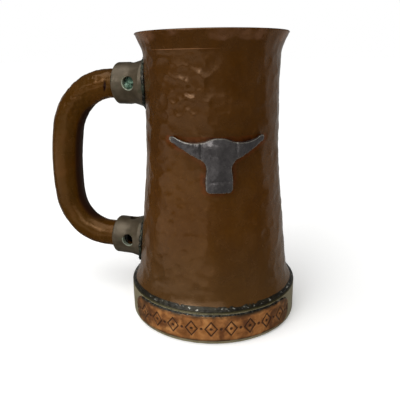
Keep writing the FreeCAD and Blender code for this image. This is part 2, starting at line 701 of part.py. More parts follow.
def drill_handle(body):
    """Hole in the tube's lower end, behind the lower socket's front cross hole."""
    doc.recompute()
    before = body.Shape.Volume
    up = size("lower_socket_height")
    turn = Rotation(Vector(1, 0, 0), -size("lower_socket_turn"))
    sketch = new_sketch(body, "handle_hole", "XZ_Plane", Placement(Vector(0, up, 0), turn))
    across = f"-({mouth_formula('lower')} - Sizes.socket_hole_inset)"
    draw_circle(sketch, "hole", across, "0", "Sizes.handle_hole_diameter")
    hole = body.newObject("PartDesign::Pocket", "handle_hole_cut")
    hole.Profile = sketch
    hole.Reversed = True
    bind(hole, Length="Sizes.handle_lower_diameter")
    doc.recompute()
    assert body.Shape.Volume < before - 1, "the handle's hole cuts nothing"


def make_handle():
    """Bent copper tube, thickest at its farthest point, with both ends straight inside the sockets."""
    body = new_body("handle_tube")
    route = new_sketch(body, "handle_route", "XZ_Plane")
    edges, farthest = handle_route()
    draw_chain(route, edges, closed=False)
    layers = [
        ("outer", "AdditivePipe", "Pad", "0", "Sizes.handle_grip_depth"),
        ("inner", "SubtractivePipe", "Pocket", "2 * Sizes.handle_wall",
         f"Sizes.handle_grip_depth + {CUT_OVERRUN}"),
    ]
    for layer, pipe_kind, end_kind, take, depth in layers:
        places = ("upper", "middle", "lower")
        sections = [handle_section(body, layer, place, farthest, take) for place in places]
        run_pipe(body, pipe_kind, f"handle_{layer}_pipe", route, sections)
        for place, sketch in (("upper", sections[0]), ("lower", sections[2])):
            straight = body.newObject(f"PartDesign::{end_kind}", f"handle_{layer}_{place}_end")
            straight.Profile = sketch
            straight.Reversed = end_kind == "Pocket"
            bind(straight, Length=depth)
    drill_handle(body)
    return body


def make_handle_solder(place):
    """Solder sleeve between the handle tube's end and the bore of its socket."""
    outer = doc.addObject("Part::Cylinder", f"{place}_handle_solder_outside")
    inner = doc.addObject("Part::Cylinder", f"{place}_handle_solder_inside")
    length = "Sizes.sleeve_length"
    bind(outer, Radius="Sizes.socket_bore / 2 - Sizes.fit_gap", Height=length)
    bind(inner, Radius=f"Sizes.handle_{place}_diameter / 2 + Sizes.fit_gap", Height=length)
    sleeve = doc.addObject("Part::Cut", f"{place}_handle_solder")
    sleeve.Label = f"{place}_handle_solder"
    sleeve.Base, sleeve.Tool = outer, inner
    sleeve.Placement.Rotation = Rotation(Vector(0, 1, 0), 90)
    bind(sleeve, Placement__Base__x=f"-({mouth_formula(place)} - Sizes.sleeve_recess)",
         Placement__Base__z=f"Sizes.{place}_socket_height")
    return sleeve


def make_socket_plug():
    """Solder that fills the bottom of the upper socket's front cross hole."""
    plug = doc.addObject("Part::Cylinder", "upper_socket_plug")
    plug.Label = "upper_socket_plug"
    plug.Placement.Rotation = Rotation(Vector(1, 0, 0), 90 - size("upper_socket_turn"))
    start = "Sizes.socket_bore / 2"
    bind(plug, Radius="Sizes.socket_hole_diameter / 2 - Sizes.fit_gap", Height="Sizes.plug_thickness",
         Placement__Base__x=f"-({mouth_formula('upper')} - Sizes.socket_hole_inset)",
         Placement__Base__y=f"-{start} * cos(Sizes.upper_socket_turn * 1 deg)",
         Placement__Base__z=f"Sizes.upper_socket_height + {start} * sin(Sizes.upper_socket_turn * 1 deg)")
    return plug


def turn_about_axis(piece, azimuth):
    """Turn a piece about the mug's axis so that its middle lies at an azimuth."""
    piece.Placement = Placement(Vector(), Rotation(Vector(0, 0, 1), azimuth))
    return piece


pieces = [
    make_body_shell(),
    make_base_ring(),
    make_base_plate(),
    make_plate_solder(),
    make_foot_solder(),
    turn_about_axis(make_base_plaque(), size("plaque_azimuth")),
    turn_about_axis(make_plaque_solder(), size("plaque_azimuth")),
    turn_about_axis(make_badge(), size("badge_azimuth") + FRONT_TURN),
    turn_about_axis(make_badge_solder(), size("badge_azimuth") + FRONT_TURN),
    make_socket("upper"),
    make_socket("lower"),
    make_socket_solder("upper"),
    make_socket_solder("lower"),
    make_handle(),
    make_handle_solder("upper"),
    make_handle_solder("lower"),
    make_socket_plug(),
]
doc.recompute()

for item in doc.Objects:
    states = [state for state in item.State if state in ("Invalid", "Error")]
    assert not states, f"{item.Label} failed: {states}"
os.makedirs("parts", exist_ok=True)
for piece in pieces:
    shape = piece.Shape
    assert not shape.isNull() and shape.isValid(), f"{piece.Label} has no valid shape"
    assert shape.Volume > 0 and len(shape.Solids) == 1, f"{piece.Label} isn't one solid"
    shape.exportStep(f"parts/{piece.Label}.step")
    box = shape.optimalBoundingBox(False)
    print(f"{piece.Label}: {shape.Volume:.0f} mm3, x {box.XMin:.1f}..{box.XMax:.1f}, "
          f"y {box.YMin:.1f}..{box.YMax:.1f}, z {box.ZMin:.1f}..{box.ZMax:.1f}")
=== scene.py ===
import math

import bmesh
import bpy
import numpy as np
from mathutils import Matrix, Vector
from mathutils.bvhtree import BVHTree


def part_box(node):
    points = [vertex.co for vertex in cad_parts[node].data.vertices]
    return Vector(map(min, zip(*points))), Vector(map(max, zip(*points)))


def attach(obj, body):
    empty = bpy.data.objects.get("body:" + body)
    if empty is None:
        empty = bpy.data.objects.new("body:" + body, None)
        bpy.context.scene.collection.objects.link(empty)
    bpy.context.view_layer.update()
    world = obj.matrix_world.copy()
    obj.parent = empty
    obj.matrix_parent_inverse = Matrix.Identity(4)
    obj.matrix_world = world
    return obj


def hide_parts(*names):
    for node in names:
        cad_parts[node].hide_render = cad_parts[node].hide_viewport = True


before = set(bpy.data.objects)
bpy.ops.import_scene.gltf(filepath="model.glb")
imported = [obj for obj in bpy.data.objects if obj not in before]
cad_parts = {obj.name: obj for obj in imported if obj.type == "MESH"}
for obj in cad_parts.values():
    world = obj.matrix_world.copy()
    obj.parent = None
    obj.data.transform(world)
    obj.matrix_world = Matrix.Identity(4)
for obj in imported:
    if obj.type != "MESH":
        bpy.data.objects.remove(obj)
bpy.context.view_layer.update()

# A copper drinking mug: a hammered shell on a heavy brass ring, a bent tube handle in two cast
# sockets, a pewter steer's head and a copper plaque. Metres; +Z is up the mug's axis and the
# handle reaches out along -X. Azimuths are degrees about +Z, counted from +X.

MM = 0.001


def low(node):
    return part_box(node)[0]


def high(node):
    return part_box(node)[1]


# ---- sizes, from the frame ----

RING_TOP = high("base_ring").z
RING_RADIUS = high("base_ring").x
PLATE_TOP = high("base_plate").z
PLATE_RADIUS = high("base_plate").x
SHELL_BOTTOM = low("body_shell").z
MUG_HEIGHT = high("body_shell").z
UPPER_AXIS = (low("upper_socket").z + high("upper_socket").z) / 2
LOWER_AXIS = (low("lower_socket").z + high("lower_socket").z) / 2
UPPER_MOUTH = -low("upper_socket").x
LOWER_MOUTH = -low("lower_socket").x
HANDLE_FARTHEST = -low("handle_tube").x
# The shell: wall, waist, the flank's lean, the flared foot, and where the waist and the lip begin.
SHELL_WALL = 1.6 * MM
WAIST_RADIUS = 38.1 * MM
RIM_RADIUS = 42.3 * MM
FLANK_LEAN = math.radians(6.1)
FLANK_FOOT_RADIUS = 46.7 * MM
FLARE_TOP = RING_TOP + 10.6 * MM
FLARE_BEND = 24.0 * MM
WAIST_BOTTOM = 125.0 * MM
LIP_START = 151.3 * MM
LIP_BEND = 12.0 * MM
SCRIBED_LINE = 154.2 * MM
# Where the badge and the plaque sit, and the arc that the plaque spans, in degrees.
BADGE_AZIMUTH = -68.2
PLAQUE_AZIMUTH = -74.0
PLAQUE_ARC = 119.6
# The handle's bends, on its centre line, its middle, wall and grip, and the sockets it sits in.
UPPER_BEND = 35.6 * MM
LOWER_BEND = 27.0 * MM
LONG_BEND = 151.4 * MM
HANDLE_MIDDLE_RADIUS = 9.7 * MM
HANDLE_WALL = 1.6 * MM
SOCKET_GRIP = 19.0 * MM
HOLE_INSET = 12.6 * MM
HANDLE_HOLE_RADIUS = 3.2 * MM
SOCKET_BORE_RADIUS = 8.9 * MM
SOCKET_HOLE_RADIUS = 3.7 * MM
UPPER_SOCKET_TURN = math.radians(3.0)
LOWER_SOCKET_TURN = math.radians(4.5)


def flank_bend():
    """Radius of the long arc between the leaning flank and the upright waist."""
    meet = RING_TOP + (FLANK_FOOT_RADIUS - WAIST_RADIUS) / math.tan(FLANK_LEAN)
    return (WAIST_BOTTOM - meet) / math.tan(FLANK_LEAN / 2)


FLANK_BEND = flank_bend()


def flank_radius(z):
    """The shell's outer radius on its straight, leaning flank."""
    return FLANK_FOOT_RADIUS - (z - RING_TOP) * math.tan(FLANK_LEAN)


def flare_radius(z):
    """The shell's outer radius on its flared foot: an arc that starts tangent to the flank."""
    centre_radius = flank_radius(FLARE_TOP) + FLARE_BEND * math.cos(FLANK_LEAN)
    centre_z = FLARE_TOP + FLARE_BEND * math.sin(FLANK_LEAN)
    drop = np.clip(centre_z - z, 0, FLARE_BEND)
    return centre_radius - np.sqrt(FLARE_BEND ** 2 - drop ** 2)


def outer_radius(z):
    """The shell's outer radius at heights z: flared foot, flank, bend, waist and turned-out lip."""
    z = np.asarray(z, dtype=float)
    drop = np.clip(WAIST_BOTTOM - z, 0, FLANK_BEND * math.sin(FLANK_LEAN))
    bend = WAIST_RADIUS + FLANK_BEND - np.sqrt(FLANK_BEND ** 2 - drop ** 2)
    radius = np.where(z < WAIST_BOTTOM - FLANK_BEND * math.sin(FLANK_LEAN), flank_radius(z), bend)
    radius = np.where(z < FLARE_TOP, flare_radius(z), radius)
    across = RIM_RADIUS - WAIST_RADIUS - LIP_BEND
    up = MUG_HEIGHT - LIP_START
    turn = math.pi - math.atan2(up, across) - math.acos(LIP_BEND / math.hypot(across, up))
    arc_rise = np.clip(z - LIP_START, 0, LIP_BEND * math.sin(turn))
    arc = LIP_BEND - np.sqrt(LIP_BEND ** 2 - arc_rise ** 2)
    straight = np.clip(z - LIP_START - LIP_BEND * math.sin(turn), 0, None) * math.tan(turn)
    return radius + arc + straight


# ---- helpers for shapes ----

def waves(points, size, seed, count=28):
    """Smooth random field with features of about one size: its values lie mostly in -2..2."""
    rng = np.random.default_rng(seed)
    directions = rng.normal(size=(count, 3))
    directions /= np.linalg.norm(directions, axis=1)[:, None]
    lengths = size * rng.uniform(0.7, 1.8, count)
    phases = rng.uniform(0, 2 * math.pi, count)
    angles = points @ (directions * (2 * math.pi / lengths)[:, None]).T + phases
    return np.sin(angles).sum(axis=1) / math.sqrt(count / 2)


def smoothstep(value, start, end):
    t = np.clip((value - start) / (end - start), 0, 1)
    return t * t * (3 - 2 * t)


def bell(value, middle, spread):
    return np.exp(-((value - middle) / spread) ** 2)


def degrees_apart(a, b):
    """Signed difference of two azimuths in degrees, the short way round."""
    return (np.asarray(a) - b + 180) % 360 - 180


def grid_faces(rows, columns, closed=True):
    """Quads of a grid whose vertices are numbered row by row; if closed, its edges meet."""
    row = np.arange(rows if closed else rows - 1)
    column = np.arange(columns if closed else columns - 1)
    r, c = (part.ravel() for part in np.meshgrid(row, column, indexing="ij"))
    r_next = (r + 1) % rows
    c_next = (c + 1) % columns
    corners = (r * columns + c, r * columns + c_next, r_next * columns + c_next, r_next * columns + c)
    return np.stack(corners, axis=1)


def set_field(mesh, name, values):
    """Store one value per vertex on a mesh, for the materials to read."""
    mesh.attributes.new(name, "FLOAT", "POINT").data.foreach_set("value", values)


def weld(mesh, gap, turn_faces_out=False):
    """Join a mesh's vertices that lie within a gap of each other."""
    work = bmesh.new()
    work.from_mesh(mesh)
    bmesh.ops.remove_doubles(work, verts=work.verts, dist=gap)
    if turn_faces_out:
        bmesh.ops.recalc_face_normals(work, faces=work.faces)
    work.to_mesh(mesh)
    work.free()


def make_mesh(name, points, faces, fields=None):
    """Smooth mesh from arrays; fields are named values per vertex."""
    mesh = bpy.data.meshes.new(name)
    mesh.from_pydata(points.tolist(), [], faces.tolist())
    for key, values in (fields or {}).items():
        set_field(mesh, key, values)
    mesh.validate()
    weld(mesh, 1e-7, turn_faces_out=True)
    mesh.shade_smooth()
    return mesh


def add_object(name, data):
    """A new object, linked into the scene."""
    thing = bpy.data.objects.new(name, data)
    bpy.context.scene.collection.objects.link(thing)
    return thing


def place(mesh, name, node, material):
    """Put a mesh in the scene as the piece that stands for a CAD node."""
    piece = add_object(name, mesh)
    mesh.materials.clear()
    mesh.materials.append(material)
    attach(piece, "root")
    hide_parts(node)
    return piece


def to_array(items, key):
    """One vector of each item, such as a mesh's vertices, as rows of an array."""
    values = np.empty(len(items) * 3)
    items.foreach_get(key, values)
    return values.reshape(-1, 3)


def vertex_array(mesh):
    return to_array(mesh.vertices, "co")


def normal_array(mesh):
    return to_array(mesh.vertex_normals, "vector")


def move_vertices(mesh, points):
    mesh.vertices.foreach_set("co", points.ravel())
    mesh.update()


def apply_modifiers(scratch):
    """A new mesh with the scratch object's modifiers applied; the object is removed."""
    depsgraph = bpy.context.evaluated_depsgraph_get()
    mesh = bpy.data.meshes.new_from_object(scratch.evaluated_get(depsgraph))
    bpy.data.objects.remove(scratch)
    return mesh


def cast_copy(node, voxel, softening):
    """A node's shape as an even mesh with soft edges, as a casting or poured metal has."""
    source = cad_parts[node]
    mesh = source.data.copy()
    weld(mesh, 1e-6)
    mesh.transform(source.matrix_world)
    scratch = add_object("scratch", mesh)
    remesh = scratch.modifiers.new("even", "REMESH")
    remesh.mode = "VOXEL"
    remesh.voxel_size = voxel
    smooth = scratch.modifiers.new("soften", "SMOOTH")
    smooth.factor = 0.5
    smooth.iterations = softening
    mesh = apply_modifiers(scratch)
    mesh.shade_smooth()
    return mesh


def roughen(mesh, layers):
    """Move a mesh's vertices along their normals by random fields of (size, height, seed)."""
    points = vertex_array(mesh)
    normals = normal_array(mesh)
    rise = sum(waves(points, size, seed) * height for size, height, seed in layers)
    move_vertices(mesh, points + normals * rise[:, None])


# ---- materials ----

def srgb(red, green, blue):
    """Colour given as 0..255 screen values, as the linear colour that a shader takes."""
    def linear(value):
        value /= 255
        return value / 12.92 if value <= 0.04045 else ((value + 0.055) / 1.055) ** 2.4
    return (linear(red), linear(green), linear(blue), 1.0)


class Paint:
    """A node material made of noise layers, all in the object's own metres."""

    def __init__(self, name, metallic):
        self.material = bpy.data.materials.new(name)
        self.material.use_nodes = True
        self.tree = self.material.node_tree
        self.shader = self.tree.nodes["Principled BSDF"]
        self.metres = self.node("TexCoord").outputs["Object"]
        self.set("Metallic", metallic)

    def put(self, node, name, value):
        """Set a node's input to a constant, or link another node's output to it."""
        if hasattr(value, "links"):
            self.tree.links.new(value, node.inputs[name])
        else:
            node.inputs[name].default_value = value

    def set(self, name, value):
        """Set or link an input of the shader itself."""
        self.put(self.shader, name, value)

    def node(self, kind, **inputs):
        """A new node with some of its inputs; an underscore stands for a space in a name."""
        node = self.tree.nodes.new("ShaderNode" + kind)
        for name, value in inputs.items():
            self.put(node, name.replace("_", " "), value)
        return node

    def noise(self, size, detail=3.0, stretch=(1, 1, 1), shift=0.0, warp=0.0):
        """Noise with features of one size; stretch makes them longer along an axis."""
        scale = [1 / s for s in stretch]
        offset = (shift, shift * 0.7, shift * 1.3)
        mapping = self.node("Mapping", Vector=self.metres, Scale=scale, Location=offset)
        noise = self.node("TexNoise", Vector=mapping.outputs["Vector"], Scale=1 / size,
                          Detail=detail, Roughness=0.55, Distortion=warp)
        return noise.outputs["Fac"]

    def spots(self, spacing):
        """Distance to scattered points, for specks: 0 at a point."""
        return self.node("TexVoronoi", Vector=self.metres, Scale=1 / spacing).outputs["Distance"]

    def field(self, name):
        """A value stored on the mesh's vertices."""
        node = self.node("Attribute")
        node.attribute_name = name
        return node.outputs["Fac"]

    def levels(self, value, start, end, least=0.0, most=1.0):
        """The value, taken smoothly from one range to another and held at both ends."""
        node = self.node("MapRange", Value=value, From_Min=start, From_Max=end, To_Min=least, To_Max=most)
        node.interpolation_type = "SMOOTHSTEP"
        return node.outputs["Result"]

    def height(self, start, end, most=1.0):
        """0 at the first height and beyond, rising to the most at the second one."""
        split = self.node("SeparateXYZ", Vector=self.metres)
        return self.levels(split.outputs["Z"], start, end, 0, most)

    def join(self, kind, first, second):
        """Two values put together by a kind of sum."""
        node = self.node("Math")
        node.operation = kind
        self.put(node, 0, first)
        self.put(node, 1, second)
        return node.outputs["Value"]

    def tint(self, target, amount):
        """Turn the colour so far towards a target, in 0..255 values, by an amount."""
        node = self.node("Mix")
        node.data_type = "RGBA"
        self.put(node, "Factor", amount)
        self.put(node, "A", self.colour)
        self.put(node, "B", srgb(*target))
        self.colour = node.outputs["Result"]

    def ramp(self, factor, *stops):
        """Start the colour with a ramp; each stop is (position, colour in 0..255 values)."""
        node = self.node("ValToRGB", Fac=factor)
        elements = node.color_ramp.elements
        while len(elements) < len(stops):
            elements.new(0.5)
        for element, (position, colour) in zip(elements, stops):
            element.position = position
            element.color = srgb(*colour)
        self.colour = node.outputs["Color"]

    def gloss(self, size, low, high, detail=3.0, shift=0.0):
        """Roughness that wanders between two values."""
        return self.levels(self.noise(size, detail, shift=shift), 0.3, 0.7, low, high)

    def bump(self, height, depth, under=None):
        """Normals of a relief, laid over the normals of a coarser one."""
        node = self.node("Bump", Height=height, Distance=depth)
        if under is not None:
            self.put(node, "Normal", under)
        return node.outputs["Normal"]

    def finish(self, roughness, normal):
        self.set("Base Color", self.colour)
        self.set("Roughness", roughness)
        self.set("Normal", normal)
        return self.material


def lay_waxed_colour(paint):
    """Waxed brown copper of shell and handle: warm and dark patches, streaks and flecks."""
    cloud = paint.noise(24 * MM, detail=4, warp=0.6)
    paint.ramp(cloud, (0.30, (74, 41, 4)), (0.50, (80, 47, 8)), (0.70, (89, 54, 17)))
    streak = paint.noise(7 * MM, detail=5, stretch=(1, 1, 3), shift=0.3)
    paint.tint((70, 39, 4), paint.levels(streak, 0.45, 0.75, 0, 0.45))
    fleck = paint.noise(2.4 * MM, detail=4, shift=0.6)
    paint.tint((112, 74, 36), paint.levels(fleck, 0.55, 0.75, 0, 0.25))


def waxed_gloss(paint):
    return paint.gloss(9 * MM, 0.19, 0.29, detail=4, shift=0.8)


def finish_waxed(paint, roughness):
    """Dark specks, the wax's warm sheen and a faint grain."""
    paint.tint((30, 17, 8), paint.levels(paint.spots(6 * MM), 0.03, 0.06, 0.7, 0))
    paint.set("Specular Tint", (1.0, 0.82, 0.62, 1.0))
    swell = paint.bump(paint.noise(5 * MM, detail=2, shift=0.5), 0.09 * MM)
    normal = paint.bump(paint.noise(1.1 * MM, detail=4), 0.03 * MM, swell)
    return paint.finish(roughness, normal)


def shell_copper():
    """The shell: dark at the top, grey at the foot, lighter in patches on its lip from wear and a painted
    reflection, stained round the badge with a painted shadow at its edge.
    """
    paint = Paint("brown_copper", metallic=0.3)
    lay_waxed_colour(paint)
    paint.tint((56, 30, 3), paint.height(80 * MM, 130 * MM, 0.42))
    paint.tint((80, 58, 32), paint.height(70 * MM, 25 * MM, 0.45))
    # Lighter patches on the lip: partly rubbed wear, partly a painted reflection.
    lip = paint.height(154 * MM, 159 * MM)
    lip_wear_and_reflection = paint.join("MULTIPLY", lip, paint.noise(13 * MM, shift=0.25))
    paint.tint((108, 74, 52), paint.levels(lip_wear_and_reflection, 0.42, 0.62, 0, 0.6))
    # Round the badge: an orange-brown stain, and a painted shadow nearest the badge's edge.
    patch = paint.levels(paint.noise(6 * MM, shift=0.15), 0.35, 0.6, 0.25, 1)
    stain_and_shade = paint.join("MULTIPLY", paint.field("stain_and_shade"), patch)
    paint.tint((92, 42, 5), paint.levels(stain_and_shade, 0, 0.5, 0, 0.7))
    paint.tint((42, 17, 4), paint.levels(stain_and_shade, 0.4, 1, 0, 0.95))
    paint.tint((150, 104, 70), paint.levels(paint.field("scribe"), 0.2, 0.9, 0, 0.8))
    return finish_waxed(paint, waxed_gloss(paint))


def handle_copper():
    """The handle: olive in patches, with painted shade on its inner side and in the crease, and duller on
    its inner side.
    """
    paint = Paint("handle_copper", metallic=0.3)
    paint.set("Specular IOR Level", 0.3)
    olive = paint.levels(paint.noise(16 * MM, shift=0.45), 0.3, 0.6, 0.1, 0.5)
    lay_waxed_colour(paint)
    paint.tint((62, 40, 2), olive)
    inner_shade = paint.field("inner_shade")
    # Painted shade along the inner side, which faces the mug, and all through the bore.
    paint.tint((40, 12, 3), paint.levels(inner_shade, 0, 1, 0, 0.9))
    # Painted shade in the crease.
    paint.tint((30, 8, 6), paint.levels(paint.field("crease"), 0.2, 0.8))
    roughness = paint.join("MAXIMUM", waxed_gloss(paint), paint.levels(inner_shade, 0, 0.6, 0, 0.5))
    return finish_waxed(paint, roughness)


def inner_copper():
    """The cup's inside: duller, and darker in patches low down."""
    paint = Paint("inner_copper", metallic=0.5)
    cloud = paint.noise(18 * MM, detail=5, warp=1.0)
    paint.ramp(cloud, (0.3, (92, 54, 32)), (0.5, (126, 80, 50)), (0.72, (152, 104, 72)))
    lower_darkening = paint.join("MULTIPLY", paint.height(75 * MM, 10 * MM), paint.noise(9 * MM, shift=0.2))
    paint.tint((48, 34, 24), lower_darkening)
    normal = paint.bump(paint.noise(1.4 * MM, detail=4), 0.04 * MM)
    return paint.finish(paint.gloss(8 * MM, 0.34, 0.55, shift=0.9), normal)


def cast_bronze():
    """Grey-brown cast bronze, green in patches, with a pale painted highlight on the lower wall of its
    holes.
    """
    paint = Paint("cast_bronze", metallic=0.45)
    cloud = paint.noise(9 * MM, detail=4, warp=0.5)
    paint.ramp(cloud, (0.3, (66, 56, 40)), (0.5, (80, 69, 52)), (0.72, (96, 85, 68)))
    green = paint.noise(5 * MM, detail=4, shift=0.4)
    paint.tint((62, 64, 42), paint.levels(green, 0.55, 0.72, 0, 0.6))
    # Pale painted highlight on the lit lower wall of the front hole, broken up by noise.
    hole_highlight = paint.join("MULTIPLY", paint.field("hole"), paint.levels(paint.noise(1.6 * MM), 0.25, 0.5))
    paint.tint((168, 176, 156), hole_highlight)
    swell = paint.bump(paint.noise(4 * MM), 0.08 * MM)
    normal = paint.bump(paint.noise(0.8 * MM, detail=4), 0.03 * MM, swell)
    return paint.finish(paint.gloss(5 * MM, 0.34, 0.46, shift=0.7), normal)


def aged_brass():
    """Olive-brown brass of the heavy ring, dark along its top edge."""
    paint = Paint("aged_brass", metallic=0.45)
    cloud = paint.noise(14 * MM, detail=5, warp=0.6)
    paint.ramp(cloud, (0.3, (134, 124, 94)), (0.5, (147, 137, 106)), (0.72, (158, 149, 119)))
    dark = paint.noise(5 * MM, detail=5, stretch=(1, 1, 2), shift=0.6)
    paint.tint((88, 76, 46), paint.levels(dark, 0.52, 0.70, 0, 0.4))
    paint.tint((62, 56, 26), paint.height(RING_TOP - 1.0 * MM, RING_TOP - 0.4 * MM))
    normal = paint.bump(paint.noise(1.0 * MM, detail=4), 0.05 * MM)
    return paint.finish(paint.gloss(6 * MM, 0.36, 0.50, shift=0.2), normal)


def grey_solder(name="grey_solder", green=0.0):
    """Dull lead-grey solder with bright flecks, partly worn metal and partly painted glints, and
    verdigris in patches if green is above 0.
    """
    paint = Paint(name, metallic=0.6)
    cloud = paint.noise(2.6 * MM, detail=5)
    # The pale top stop gives bright flecks: partly worn metal, partly painted glints.
    paint.ramp(cloud, (0.44, (34, 32, 27)), (0.60, (56, 54, 47)), (0.78, (150, 148, 138)))
    if green:
        patch = paint.levels(paint.noise(6 * MM, shift=0.5), 0.4, 0.65, 0, green)
        paint.tint((70, 84, 66), patch)
    roughness = paint.levels(paint.noise(1.6 * MM, detail=2, shift=0.9), 0.35, 0.65, 0.22, 0.60)
    normal = paint.bump(paint.noise(0.9 * MM, detail=4, shift=0.1), 0.14 * MM)
    return paint.finish(roughness, normal)


def ridge_solder():
    """Dark, tarnished solder round the foot, with bright flecks along its ridge, partly worn metal and
    partly painted glints.
    """
    paint = Paint("ridge_solder", metallic=0.5)
    cloud = paint.noise(5 * MM, detail=4)
    paint.ramp(cloud, (0.3, (28, 24, 15)), (0.5, (36, 32, 21)), (0.7, (50, 46, 31)))
    # Bright flecks along the ridge: partly worn metal, partly painted glints.
    nick_and_glint = paint.levels(paint.noise(1.9 * MM, detail=4, shift=0.9), 0.56, 0.68)
    nick_and_glint = paint.join("MULTIPLY", nick_and_glint, paint.field("ridge"))
    paint.tint((200, 198, 186), nick_and_glint)
    normal = paint.bump(paint.noise(1.0 * MM, shift=0.1), 0.05 * MM)
    return paint.finish(paint.levels(nick_and_glint, 0, 1, 0.42, 0.22), normal)


def verdigris():
    """Chalky green corrosion that fills the upper socket's hole."""
    paint = Paint("verdigris", metallic=0.15)
    cloud = paint.noise(3.0 * MM, detail=4)
    paint.ramp(cloud, (0.34, (22, 44, 30)), (0.50, (62, 92, 72)), (0.66, (150, 178, 158)))
    normal = paint.bump(paint.noise(0.7 * MM, detail=4), 0.2 * MM)
    return paint.finish(paint.gloss(1.5 * MM, 0.35, 0.8, shift=0.4), normal)


def bare_copper():
    """The plaque: orange copper gone brown, darker in the marks, in blotches and at its ends."""
    paint = Paint("bare_copper", metallic=0.4)
    cloud = paint.noise(6 * MM, detail=5, warp=0.8)
    paint.ramp(cloud, (0.32, (124, 76, 34)), (0.50, (164, 106, 54)), (0.68, (192, 134, 76)))
    blotch = paint.noise(11 * MM, detail=5, shift=0.35)
    paint.tint((92, 50, 22), paint.levels(blotch, 0.50, 0.64, 0, 0.8))
    patch = paint.levels(paint.noise(5 * MM, shift=0.9), 0.2, 0.6)
    paint.tint((60, 46, 28), paint.join("MULTIPLY", paint.field("grime"), patch))
    paint.tint((62, 36, 18), paint.levels(paint.field("mark"), 0, 1, 0, 0.9))
    normal = paint.bump(paint.noise(0.9 * MM, detail=5), 0.06 * MM)
    return paint.finish(paint.gloss(4 * MM, 0.30, 0.48, shift=0.7), normal)


def plate_copper():
    """The disc that closes the bottom: scratched and tarnished."""
    paint = Paint("plate_copper", metallic=0.5)
    cloud = paint.noise(16 * MM, detail=5, warp=0.8)
    paint.ramp(cloud, (0.3, (92, 56, 34)), (0.5, (134, 88, 54)), (0.72, (168, 118, 78)))
    scratch = paint.noise(3 * MM, detail=4, stretch=(8, 0.4, 1), shift=0.2)
    paint.tint((190, 146, 108), paint.levels(scratch, 0.6, 0.7, 0, 0.5))
    normal = paint.bump(scratch, 0.03 * MM, paint.bump(paint.noise(1.2 * MM), 0.04 * MM))
    return paint.finish(paint.gloss(7 * MM, 0.34, 0.55, shift=0.5), normal)


def pewter():
    """Dark grey pewter, lighter in patches along its edges, partly wear and partly a painted rim
    highlight.
    """
    paint = Paint("pewter", metallic=0.6)
    paint.set("Specular IOR Level", 0.4)
    cloud = paint.noise(7 * MM, detail=4, warp=0.4)
    paint.ramp(cloud, (0.3, (60, 56, 57)), (0.5, (70, 66, 67)), (0.72, (84, 80, 80)))
    patch = paint.levels(paint.noise(2 * MM, shift=0.3), 0.2, 0.5)
    # Lighter patches where the head's surface turns sideways: partly wear, partly a painted rim
    # highlight.
    paint.tint((172, 170, 158), paint.join("MULTIPLY", paint.field("edge"), patch))
    swell = paint.bump(paint.noise(3 * MM), 0.12 * MM)
    normal = paint.bump(paint.noise(0.9 * MM), 0.03 * MM, swell)
    return paint.finish(paint.gloss(3.5 * MM, 0.20, 0.32, shift=0.7), normal)


# ---- the shell ----

SHELL_COLUMNS = 440
SHELL_STEP = 0.58 * MM
INNER_STEP = 1.25 * MM
# Hammer blows: their spacing, how far they stray as a share of it, their radii, and how their
# hollows are rounded. They are deepest in one patch above the badge, and else faintest in front.
BLOW_SPACING = 4.9 * MM
ROW_SPACING = 0.85 * BLOW_SPACING
BLOW_STRAY = 0.6
BLOW_RADII = (3.2 * MM, 4.6 * MM)
DISH_POWER = 1.6
DEEPEST_AZIMUTH = -84
DEEPEST_HEIGHT = 136 * MM
FAINTEST_AZIMUTH = -75
# Below this height the hammering and the unevenness fade towards the foot.
FOOT_FADE = 34 * MM
# The scribed line is plainest at this azimuth.
SCRIBE_AZIMUTH = -98
SCRIBE_DEPTH = 0.06 * MM


def blow_depth(rng, azimuth, z):
    """How deep a hammer blow is: strong above the badge, faint near the foot, none on the lip."""
    patch = bell(degrees_apart(azimuth, DEEPEST_AZIMUTH), 0, 32) * bell(z, DEEPEST_HEIGHT, 16 * MM)
    side = 1 - bell(degrees_apart(azimuth, FAINTEST_AZIMUTH), 0, 35)
    lip = 1 - smoothstep(z, 147 * MM, 153 * MM)
    foot = smoothstep(z, SHELL_BOTTOM, FOOT_FADE)
    strength = (0.15 + 0.14 * side + 0.46 * patch) * MM * rng.uniform(0.6, 1.4)
    return strength * lip * (0.35 + 0.65 * foot)


def hammer_relief(azimuths, heights):
    """Depth of the shell's surface below its true shape: overlapping shallow dishes."""
    rng = np.random.default_rng(11)
    relief = np.zeros((len(heights), len(azimuths)))
    for z in np.arange(RING_TOP, LIP_START, ROW_SPACING):
        radius = float(outer_radius(z))
        count = int(2 * math.pi * radius / BLOW_SPACING)
        for i in range(count):
            azimuth = (i + rng.uniform(-BLOW_STRAY, BLOW_STRAY)) * 360 / count
            height = z + rng.uniform(-BLOW_STRAY, BLOW_STRAY) * BLOW_SPACING
            size = rng.uniform(*BLOW_RADII)
            depth = blow_depth(rng, azimuth, height)
            rows = np.nonzero(abs(heights - height) < size)[0]
            if depth <= 0 or not len(rows):
                continue
            across = np.radians(degrees_apart(azimuths, azimuth)) * radius
            distance = (across[None, :] ** 2 + (heights[rows, None] - height) ** 2) / size ** 2
            dish = -depth * (1 - distance ** DISH_POWER)
            relief[rows] = np.minimum(relief[rows], np.where(distance < 1, dish, 0))
    relief = (np.roll(relief, 1, 1) + 2 * relief + np.roll(relief, -1, 1)) / 4
    relief[1:-1] = (relief[:-2] + 2 * relief[1:-1] + relief[2:]) / 4
    return relief


def shell_points(radius, heights, azimuths):
    """Points round the mug's axis; heights are one per row, or one per point."""
    angle = np.radians(azimuths)
    x = radius * np.cos(angle)
    y = radius * np.sin(angle)
    if heights.ndim == 1:
        heights = heights[:, None]
    z = np.broadcast_to(heights, radius.shape)
    return np.stack([x, y, z], axis=2).reshape(-1, 3)


